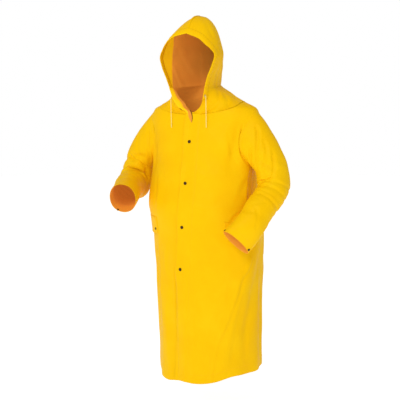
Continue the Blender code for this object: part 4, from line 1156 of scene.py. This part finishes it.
# the casing: a strip folded round the face edge, outside and inside, puckered by its drawstring
casingSettings = {
    "outerLift": 0.0015, "innerLift": -0.0014, "roll": 0.0016, "puff": 0.0010, "wall": 0.0008,
    "pucker": 0.0006, "puckerPitch": 0.017,
}
casingFirst = int(np.searchsorted(shareSteps, 0.25))
around = np.concatenate((np.linspace(2.0, 0.0, 12), np.linspace(0.0, 1.9, 11)[1:]))
foldTurn = np.concatenate((np.ones(12), -np.ones(10)))


def casingHalf(form, out, seed):
    # each row runs from the strip's outer edge round the face edge and back along the inside
    columnAt = np.interp(around, columnSteps, np.arange(len(columnSteps)))
    rowAt = np.arange(casingFirst, len(shareSteps), dtype=float)
    fineRow = np.interp(np.linspace(0, len(rowAt) - 1, 3 * len(rowAt)), np.arange(len(rowAt)), rowAt)
    rowGrid, columnGrid = np.meshgrid(fineRow, columnAt, indexing="ij")
    base = spotOn(form, rowGrid, columnGrid)
    away = unitOf(spotOn(out, rowGrid, columnGrid))
    edgeOut = unitOf(spotOn(form, fineRow, 0 * fineRow) - spotOn(form, fineRow, 0 * fineRow + 2.0))
    run = lengthAlong(base[:, 0])[:, None]
    draw = np.random.default_rng(seed)
    beat = np.cumsum(draw.uniform(0.75, 1.35, len(fineRow)))[:, None]
    pucker = np.sin(beat * run[-1] / len(fineRow) * 2 * np.pi / casingSettings["puckerPitch"])
    pucker = pucker * casingSettings["pucker"]
    belly = np.sin(np.pi * np.clip(around / 2.0, 0, 1))[None]
    lift = np.where(foldTurn > 0, casingSettings["outerLift"] + (casingSettings["puff"] + pucker) * belly,
                    casingSettings["innerLift"] - (0.6 * casingSettings["puff"] + 0.5 * pucker) * belly)
    atEdge = bell(around, 0.12)[None]
    lift = lift * (1 - atEdge)
    return base + away * lift[..., None] + edgeOut[:, None] * (casingSettings["roll"] * atEdge)[..., None]


casingLeft = casingHalf(leftForm, leftOut, 21)
casingRight = casingHalf(rightForm, rightOut, 22)
casingTop = (casingLeft[-1:] + casingRight[-1:]) / 2
casingGrid = np.concatenate((casingRight[:-1], casingTop, casingLeft[-2::-1]))
clothPiece("hoodCasing", "hood_casing", casingGrid, -1, wall=casingSettings["wall"], inner=coatCloth)

# the edge turned out at the neck: a strip of the cloth's back in painted shade, from the slit's lower end up
# the right face edge; places of its outer and its inner side from the lowest up, and where across it the
# yellow ends and the painted shade begins
turnSettings = {
    "outer": (
        (0.0096, -0.1141, -0.1372), (-0.0040, -0.1111, -0.1137), (-0.0200, -0.1088, -0.0885),
        (-0.0540, -0.1160, -0.0672), (-0.0676, -0.1220, -0.0489), (-0.0780, -0.1262, -0.0262),
        (-0.0846, -0.1288, -0.0046), (-0.0900, -0.1306, 0.0120),
    ),
    "inner": (
        (0.0104, -0.1141, -0.1368), (0.0134, -0.1108, -0.1137), (0.0062, -0.1072, -0.0890),
        (-0.0246, -0.0930, -0.0675), (-0.0383, -0.0908, -0.0495), (-0.0611, -0.0955, -0.0252),
        (-0.0729, -0.0989, -0.0041), (-0.0860, -0.1080, 0.0126),
    ),
    "yellowTo": (0.0, 0.0, 0.30, 0.56, 0.64, 0.62, 0.66, 0.95),
}
turnKnots = np.linspace(0.0, 1.0, 8)
turnRows = np.linspace(0.0, 1.0, 64)
turnAcross = np.concatenate((np.linspace(0.0, 0.9, 15), (0.94, 0.97, 1.0)))[None]
turnOuter = curveThrough(turnKnots, turnSettings["outer"], turnRows)[:, None]
turnInner = curveThrough(turnKnots, turnSettings["inner"], turnRows)[:, None]
yellowTo = curveThrough(turnKnots, turnSettings["yellowTo"], turnRows)[:, None]
turnWidth = np.linalg.norm(turnInner - turnOuter, axis=-1)
turnRoll = 0.10 * np.sin(np.pi * turnAcross**0.7) + 0.05 * bell(turnAcross - yellowTo + 0.10, 0.10)
turnRoll = turnRoll * np.minimum(turnWidth, 0.026) * easeStep(turnWidth / 0.02)
turnGrid = turnOuter + (turnInner - turnOuter) * turnAcross[..., None]
turnGrid = turnGrid + turnRoll[..., None] * np.array((0.35, -0.92, 0.18))
# painted shade across the strip: yellow at its outer side, orange past where the yellow ends
turnShade = 0.41 * easeStep((turnAcross - yellowTo + 0.10) / 0.20)
# painted shadow: a dark band along the strip's inner side at its lower end, under the flap's edge
turnPaintedShadow = easeStep((turnAcross - 0.74) / 0.20) * easeStep((0.42 - turnRows) / 0.12)[:, None]
collarTurn = clothPiece("collarTurn", None, turnGrid, 1, turnShade + 0.70 * turnPaintedShadow, material=clothInside)
print("hood, casing and turned edge built")

# seams: low felled ridges over every join, closed strips with a rounded top
seamSettings = {
    "width": 0.0085, "rise": 0.0010, "under": 0.0001, "armholeWidth": 0.0080,
    "neckWidth": 0.0095, "neckRise": 0.0005, "neckLift": 0.0009,
    # the hood's columns where the crown's seam and the neck seam start
    "crownFrom": 14, "neckFrom": 8,
}


def ridgeProfile(width, rise, under):
    # half an oval above the cloth and a flat underside inside the cloth's wall
    turn = np.linspace(0, np.pi, 7)
    top = np.stack((-np.cos(turn) * width / 2, np.sin(turn) ** 0.6 * rise), -1)
    return np.concatenate((top, np.array(((width / 2, under), (-width / 2, under)))))


seamParts = []


def addSeam(path, out, width=seamSettings["width"], rise=seamSettings["rise"]):
    # one ridge along a path, kept for the one mesh of all seams
    seamParts.append(sweptStrip(path, unitOf(out), ridgeProfile(width, rise, seamSettings["under"])))


(leftGrid, leftNormals), (rightGrid, rightNormals), (backGrid, backNormals) = (
    (part["grid"], part["normals"]) for part in body.values())
lowSide = slice(0, armLow + 1)
topSide = slice(armLow + armSteps, len(fineRows))
for part in (lowSide, topSide):
    for grid, out, edge in ((leftGrid, leftNormals, 0), (rightGrid, rightNormals, -1)):
        addSeam((grid[part, -1] + backGrid[part, edge]) / 2, out[part, -1] + backNormals[part, edge])


def armholeSeam(grid, out, frontOut, rearOut):
    # the first ring of the sleeve, closed, standing half on the body and half on the sleeve
    hole = slice(armLow, armLow + armSteps + 1)
    bodyOut = np.concatenate((frontOut[hole], rearOut[hole][-2:0:-1]))
    path = np.concatenate((grid[0], grid[0][:1]))
    facing = unitOf(out[1] + bodyOut)
    addSeam(path, np.concatenate((facing, facing[:1])), seamSettings["armholeWidth"])


armholeSeam(*sleeveLeft, leftNormals[:, -1], backNormals[:, 0])
armholeSeam(*sleeveRight, rightNormals[:, -1], backNormals[:, -1])
# the hood's centre seam from the neck up and over the crown, then the neck seam
middlePlane = np.array((0, 1, 1))
bothOut = hoodLeftNow + hoodRightNow
addSeam(hoodLeftGrid[1:-1, -1] * middlePlane, bothOut[1:-1, -1])
crown = slice(seamSettings["crownFrom"], -1)
addSeam(hoodLeftGrid[-1, crown] * middlePlane, bothOut[-1, crown] * middlePlane)
upwards = 0.3 * np.array((0.0, 0.0, 1.0))
neckOutLeft = unitOf(hoodLeftNow[1] + upwards)
neckOutRight = unitOf(hoodRightNow[1] + upwards)
fromFront, backAgain = slice(seamSettings["neckFrom"], None), slice(-2, seamSettings["neckFrom"] - 1, -1)
neckOut = np.concatenate((neckOutLeft[fromFront], neckOutRight[backAgain]))
neckPath = np.concatenate((hoodLeftGrid[0, fromFront], hoodRightGrid[0, backAgain]))
addSeam(neckPath + neckOut * seamSettings["neckLift"], neckOut,
        seamSettings["neckWidth"], seamSettings["neckRise"])
seams = solidPiece("felledSeams", None, *joinParts(seamParts), coatCloth, "coated_cloth")
print("seams built:", len(seamParts))

# stitches: short rounded capsules along every sewn line
stitchSettings = {
    "pitch": 0.0042, "length": 0.0031, "radius": 0.00032, "stand": 0.00022,
    # how high over the piece's own grid the rows lie
    "onCloth": 0.0006, "onRidge": 0.0013, "onFlap": 0.0009, "onPocket": 0.0010, "onCasing": 0.0004,
    # how far the rows lie from the seam or the edge
    "hem": 0.038, "ridge": 0.0026, "armhole": 0.0065, "hood": 0.0062,
}


def stitchRow(path, out, lift):
    # one capsule for each pitch of the line, its ends sunk into the cloth
    run = lengthAlong(path)
    count = int(run[-1] / stitchSettings["pitch"])
    middle = (np.arange(count) + 0.5) * run[-1] / count
    at = placesAt(middle, run, path)
    facing = unitOf(placesAt(middle, run, out))
    along = placesAt(middle, run, np.gradient(path, axis=0))
    along = unitOf(along - facing * np.sum(along * facing, axis=1, keepdims=True))
    across = np.cross(facing, along)
    share = np.array((-1.0, -0.72, 0.0, 0.72, 1.0))
    swell = np.array((0.25, 0.85, 1.0, 0.85, 0.25)) * stitchSettings["radius"]
    arch = stitchSettings["stand"] * (1 - share**2) - stitchSettings["radius"] * 0.6 * share**2
    turn = evenTurn(5)
    return (
        at[:, None, None] + along[:, None, None] * (share * stitchSettings["length"] / 2)[None, :, None, None]
        + facing[:, None, None] * (
            lift + arch[None, :, None, None] + (swell[:, None] * np.sin(turn))[None, ..., None])
        + across[:, None, None] * (swell[:, None] * np.cos(turn))[None, ..., None]
    )


def stitchPiece(name, rowsOfStitches):
    # all the capsules of one garment part as one mesh, with the same few faces repeated
    rings = np.concatenate(rowsOfStitches)
    count, long, sides = rings.shape[:3]
    start = np.arange(count)[:, None] * long * sides
    quads = np.array(gridFaces(long, sides, 1, ring=True)) + start[..., None]
    firstEnd = np.arange(sides)[::-1] + start
    lastEnd = np.arange((long - 1) * sides, long * sides) + start
    faces = quads.reshape(-1, 4).tolist() + firstEnd.tolist() + lastEnd.tolist()
    print(name, count, "stitches")
    return solidPiece(name, None, rings, faces, seamThread, "coated_cloth")


def gridLine(grid, out, row=None, column=None):
    # a line along a row or a column of a grid, at a fractional place
    if row is None:
        row = np.arange(grid.shape[0], dtype=float)
        column = column + 0 * row
    else:
        column = np.arange(grid.shape[1], dtype=float)
        row = row + 0 * column
    return spotOn(grid, row, column), unitOf(spotOn(out, row, column))


skin = stitchSettings["onCloth"]
hemRow = float(np.interp(fineRows[0] + stitchSettings["hem"], fineRows, np.arange(len(fineRows))))
bodyStitches = [stitchRow(*gridLine(part["grid"], part["normals"], row=hemRow), skin)
                for part in body.values()]
for grid, out in ((leftGrid, leftNormals), (rightGrid, rightNormals)):
    for part in (lowSide, topSide):
        edge = grid[part, -1]
        inward = unitOf(grid[part, -2] - edge)
        bodyStitches.append(
            stitchRow(edge + inward * stitchSettings["ridge"], out[part, -1], stitchSettings["onRidge"]))
flapNormals = gridNormals(flapGrid, 1)
for columnAt in (2.2, 24.2):
    path, facing = gridLine(flapGrid, flapNormals, column=columnAt)
    bodyStitches.append(stitchRow(path[3:-3], facing[3:-3], stitchSettings["onFlap"]))
for pocket in (pocketLeft, pocketRight):
    for where in ({"column": 1.6}, {"row": 23.2}, {"column": 41.4}, {"row": 1.6}):
        bodyStitches.append(stitchRow(*gridLine(*pocket, **where), stitchSettings["onPocket"]))
stitchesBody = stitchPiece("stitchesBody", bodyStitches)

sleeveStitches = []
for sleeve in (sleeveLeft, sleeveRight):
    ringGrid, ringOut = (np.concatenate((g, g[:, :1]), 1) for g in sleeve)
    for fromEnd in (10.5, 1.2):
        sleeveStitches.append(stitchRow(*gridLine(ringGrid, ringOut, row=sleeveRows - 1 - fromEnd), skin))
    away = unitOf(ringGrid[3] - ringGrid[0])
    sleeveStitches.append(stitchRow(ringGrid[0] + away * stitchSettings["armhole"], ringOut[2], skin))
stitchesSleeves = stitchPiece("stitchesSleeves", sleeveStitches)

hoodStitches = []
for grid, out in ((hoodLeftGrid, hoodLeftNow), (hoodRightGrid, hoodRightNow)):
    beside = grid[:, -1] + unitOf(grid[:, -3] - grid[:, -1]) * stitchSettings["hood"]
    hoodStitches.append(stitchRow(beside[2:-1], out[2:-1, -2], skin))
    above = grid[0] + unitOf(grid[3] - grid[0]) * stitchSettings["hood"]
    hoodStitches.append(stitchRow(above[9:], out[2][9:], skin))
path, facing = gridLine(casingGrid, gridNormals(casingGrid, -1), column=1.1)
hoodStitches.append(stitchRow(path[2:-2], facing[2:-2], stitchSettings["onCasing"]))
stitchesHood = stitchPiece("stitchesHood", hoodStitches)

# snaps: lathed caps with a rolled edge and a shallow dish, seated on their own cloth
snapSettings = {
    "front": 0.0070, "small": 0.0052, "height": 0.0026, "backRadius": 0.0050, "backHeight": 0.0020,
    "rings": 33, "around": 36,
}


def latheCap(place, away, radius, height):
    # the profile turned round the cap's axis: skirt, rolled edge, groove, low dome
    profile = np.array((
        (0.00, -0.30), (0.92, -0.30), (0.98, 0.10), (1.00, 0.35), (0.97, 0.62), (0.90, 0.80), (0.80, 0.86),
        (0.70, 0.80), (0.64, 0.70), (0.58, 0.72), (0.45, 0.84), (0.25, 0.95), (0.00, 1.00),
    ))
    marks = np.linspace(0, 1, snapSettings["rings"])
    fine = curveThrough(np.linspace(0, 1, len(profile)), profile, marks)
    turn = evenTurn(snapSettings["around"])
    side = unitOf(np.cross(away, np.array((0.13, 0.42, 0.9))))
    radial = np.cos(turn)[:, None] * side + np.sin(turn)[:, None] * np.cross(away, side)
    spread = np.maximum(fine[:, 0], 0.012) * radius
    ring = place + spread[:, None, None] * radial + (fine[:, 1] * height)[:, None, None] * away
    return ring, tubeFaces(len(fine), len(turn))


# each snap's cloth, its size and how high over the cloth's grid it sits
onFlap = (flapGrid, flapNormals, "front", 0.0011)
onLeftSleeve = (*sleeveLeft, "small", 0.0006)
snapHosts = {
    "snap_front_1": onFlap, "snap_front_2": onFlap, "snap_front_3": onFlap, "snap_front_4": onFlap,
    "snap_collar": (hoodRightGrid, hoodRightNow, "small", 0.0006),
    "snap_pocket_left": (*pocketLeft, "small", 0.0010),
    "snap_pocket_right": (*pocketRight, "small", 0.0010),
    "snap_cuff_left_1": onLeftSleeve, "snap_cuff_left_2": onLeftSleeve,
    "snap_cuff_right": (*sleeveRight, "small", 0.0006),
}
for node, (grid, out, size, skinLift) in snapHosts.items():
    middle = np.mean(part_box(node), axis=0)
    place, away = nearestOn(grid, out, middle)
    place = middle - away * np.dot(middle - place, away)
    ring, faces = latheCap(place + away * skinLift, away, snapSettings[size], snapSettings["height"])
    if "cuff" in node:
        # the snap's other half, set on the inside of the cloth
        inside = latheCap(
            place - away * skinLift, -away, snapSettings["backRadius"], snapSettings["backHeight"])
        ring, faces = joinParts([(ring, faces), inside])
    solidPiece(node + "_cap", node, ring, faces, snapEnamel, "snap_metal")
print("snaps built:", len(snapHosts))

# eyelets: rolled brass rings; each is an oval section turned round the hole's axis
eyeletSettings = {"radius": 0.0041, "roll": 0.0013, "rise": 0.00085, "steps": 32, "sides": 14}
for sideName, ends in cordSettings["sides"].items():
    middle = np.mean(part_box("eyelet_" + sideName), axis=0)
    away = unitOf(np.array(ends["away"]))
    steps, sides = eyeletSettings["steps"], eyeletSettings["sides"]
    turn, section = evenTurn(steps), evenTurn(sides)
    side = unitOf(np.cross(away, np.array((0.0, 0.0, 1.0))))
    radial = np.cos(turn)[:, None] * side + np.sin(turn)[:, None] * np.cross(away, side)
    spread = eyeletSettings["radius"] + eyeletSettings["roll"] * np.cos(section)
    up = eyeletSettings["rise"] * np.sin(section)
    ring = middle + radial[:, None] * spread[None, :, None] + away * up[None, :, None]
    faces = gridFaces(steps, sides, 1, ring=True)
    last = (steps - 1) * sides
    faces += [(last + k, last + (k + 1) % sides, (k + 1) % sides, k) for k in range(sides)]
    solidPiece("eyeletRing_" + sideName, "eyelet_" + sideName, ring, faces, eyeletBrass, "eyelet_metal")
print("eyelets built")

# floor, light and world
stageSettings = {
    "floorLevel": -1.50, "floorRadius": 14.0, "floorPoints": 96, "floorGlow": 0.62, "ambient": 0.56,
    "keyPower": 98.0, "keySize": 2.4, "keyPlace": (0.6, -4.2, 2.2), "keyAim": (0.0, 0.0, -0.4),
}
floorTurn = evenTurn(stageSettings["floorPoints"])
floorRadius = stageSettings["floorRadius"]
floorPoints = np.stack((floorRadius * np.cos(floorTurn), floorRadius * np.sin(floorTurn),
                        0 * floorTurn + stageSettings["floorLevel"]), -1)
floorMesh = bpy.data.meshes.new("floor")
floorMesh.from_pydata(floorPoints.tolist(), [], [tuple(range(len(floorPoints)))])
floor = bpy.data.objects.new("floor", floorMesh)
floorPaint = nodeMaterial("floorPaint", {
    "Base Color": (0.80, 0.80, 0.80, 1.0), "Roughness": 0.9, "Specular IOR Level": 0.0,
    "Emission Color": (1.0, 1.0, 1.0, 1.0), "Emission Strength": stageSettings["floorGlow"],
})[0]
floorMesh.materials.append(floorPaint)
bpy.context.scene.collection.objects.link(floor)

world = bpy.data.worlds.new("studio")
bpy.context.scene.world = world
world.use_nodes = True
worldTree = world.node_tree
background = worldTree.nodes["Background"]
seen = addNode(worldTree, "ShaderNodeBackground", Color=(1.0, 1.0, 1.0, 1.0), Strength=1.0)
background.inputs["Color"].default_value = (1.0, 1.0, 1.0, 1.0)
background.inputs["Strength"].default_value = stageSettings["ambient"]
rays = addNode(worldTree, "ShaderNodeLightPath")
mixed = addNode(worldTree, "ShaderNodeMixShader", i0=rays.outputs["Is Camera Ray"], i1=background.outputs[0],
                i2=seen.outputs[0])
worldTree.links.new(mixed.outputs[0], worldTree.nodes["World Output"].inputs["Surface"])
# the key light, a round lamp turned towards its aim
lamp = bpy.data.lights.new("keyLight", "AREA")
lamp.shape = "DISK"
lamp.size = stageSettings["keySize"]
lamp.energy = stageSettings["keyPower"]
keyLight = bpy.data.objects.new("keyLight", lamp)
keyLight.location = stageSettings["keyPlace"]
towards = Vector(stageSettings["keyAim"]) - Vector(stageSettings["keyPlace"])
keyLight.rotation_euler = towards.to_track_quat("-Z", "Y").to_euler()
bpy.context.scene.collection.objects.link(keyLight)
bpy.context.scene.view_settings.view_transform = "Standard"
bpy.context.scene.view_settings.look = "None"
print("stage ready")
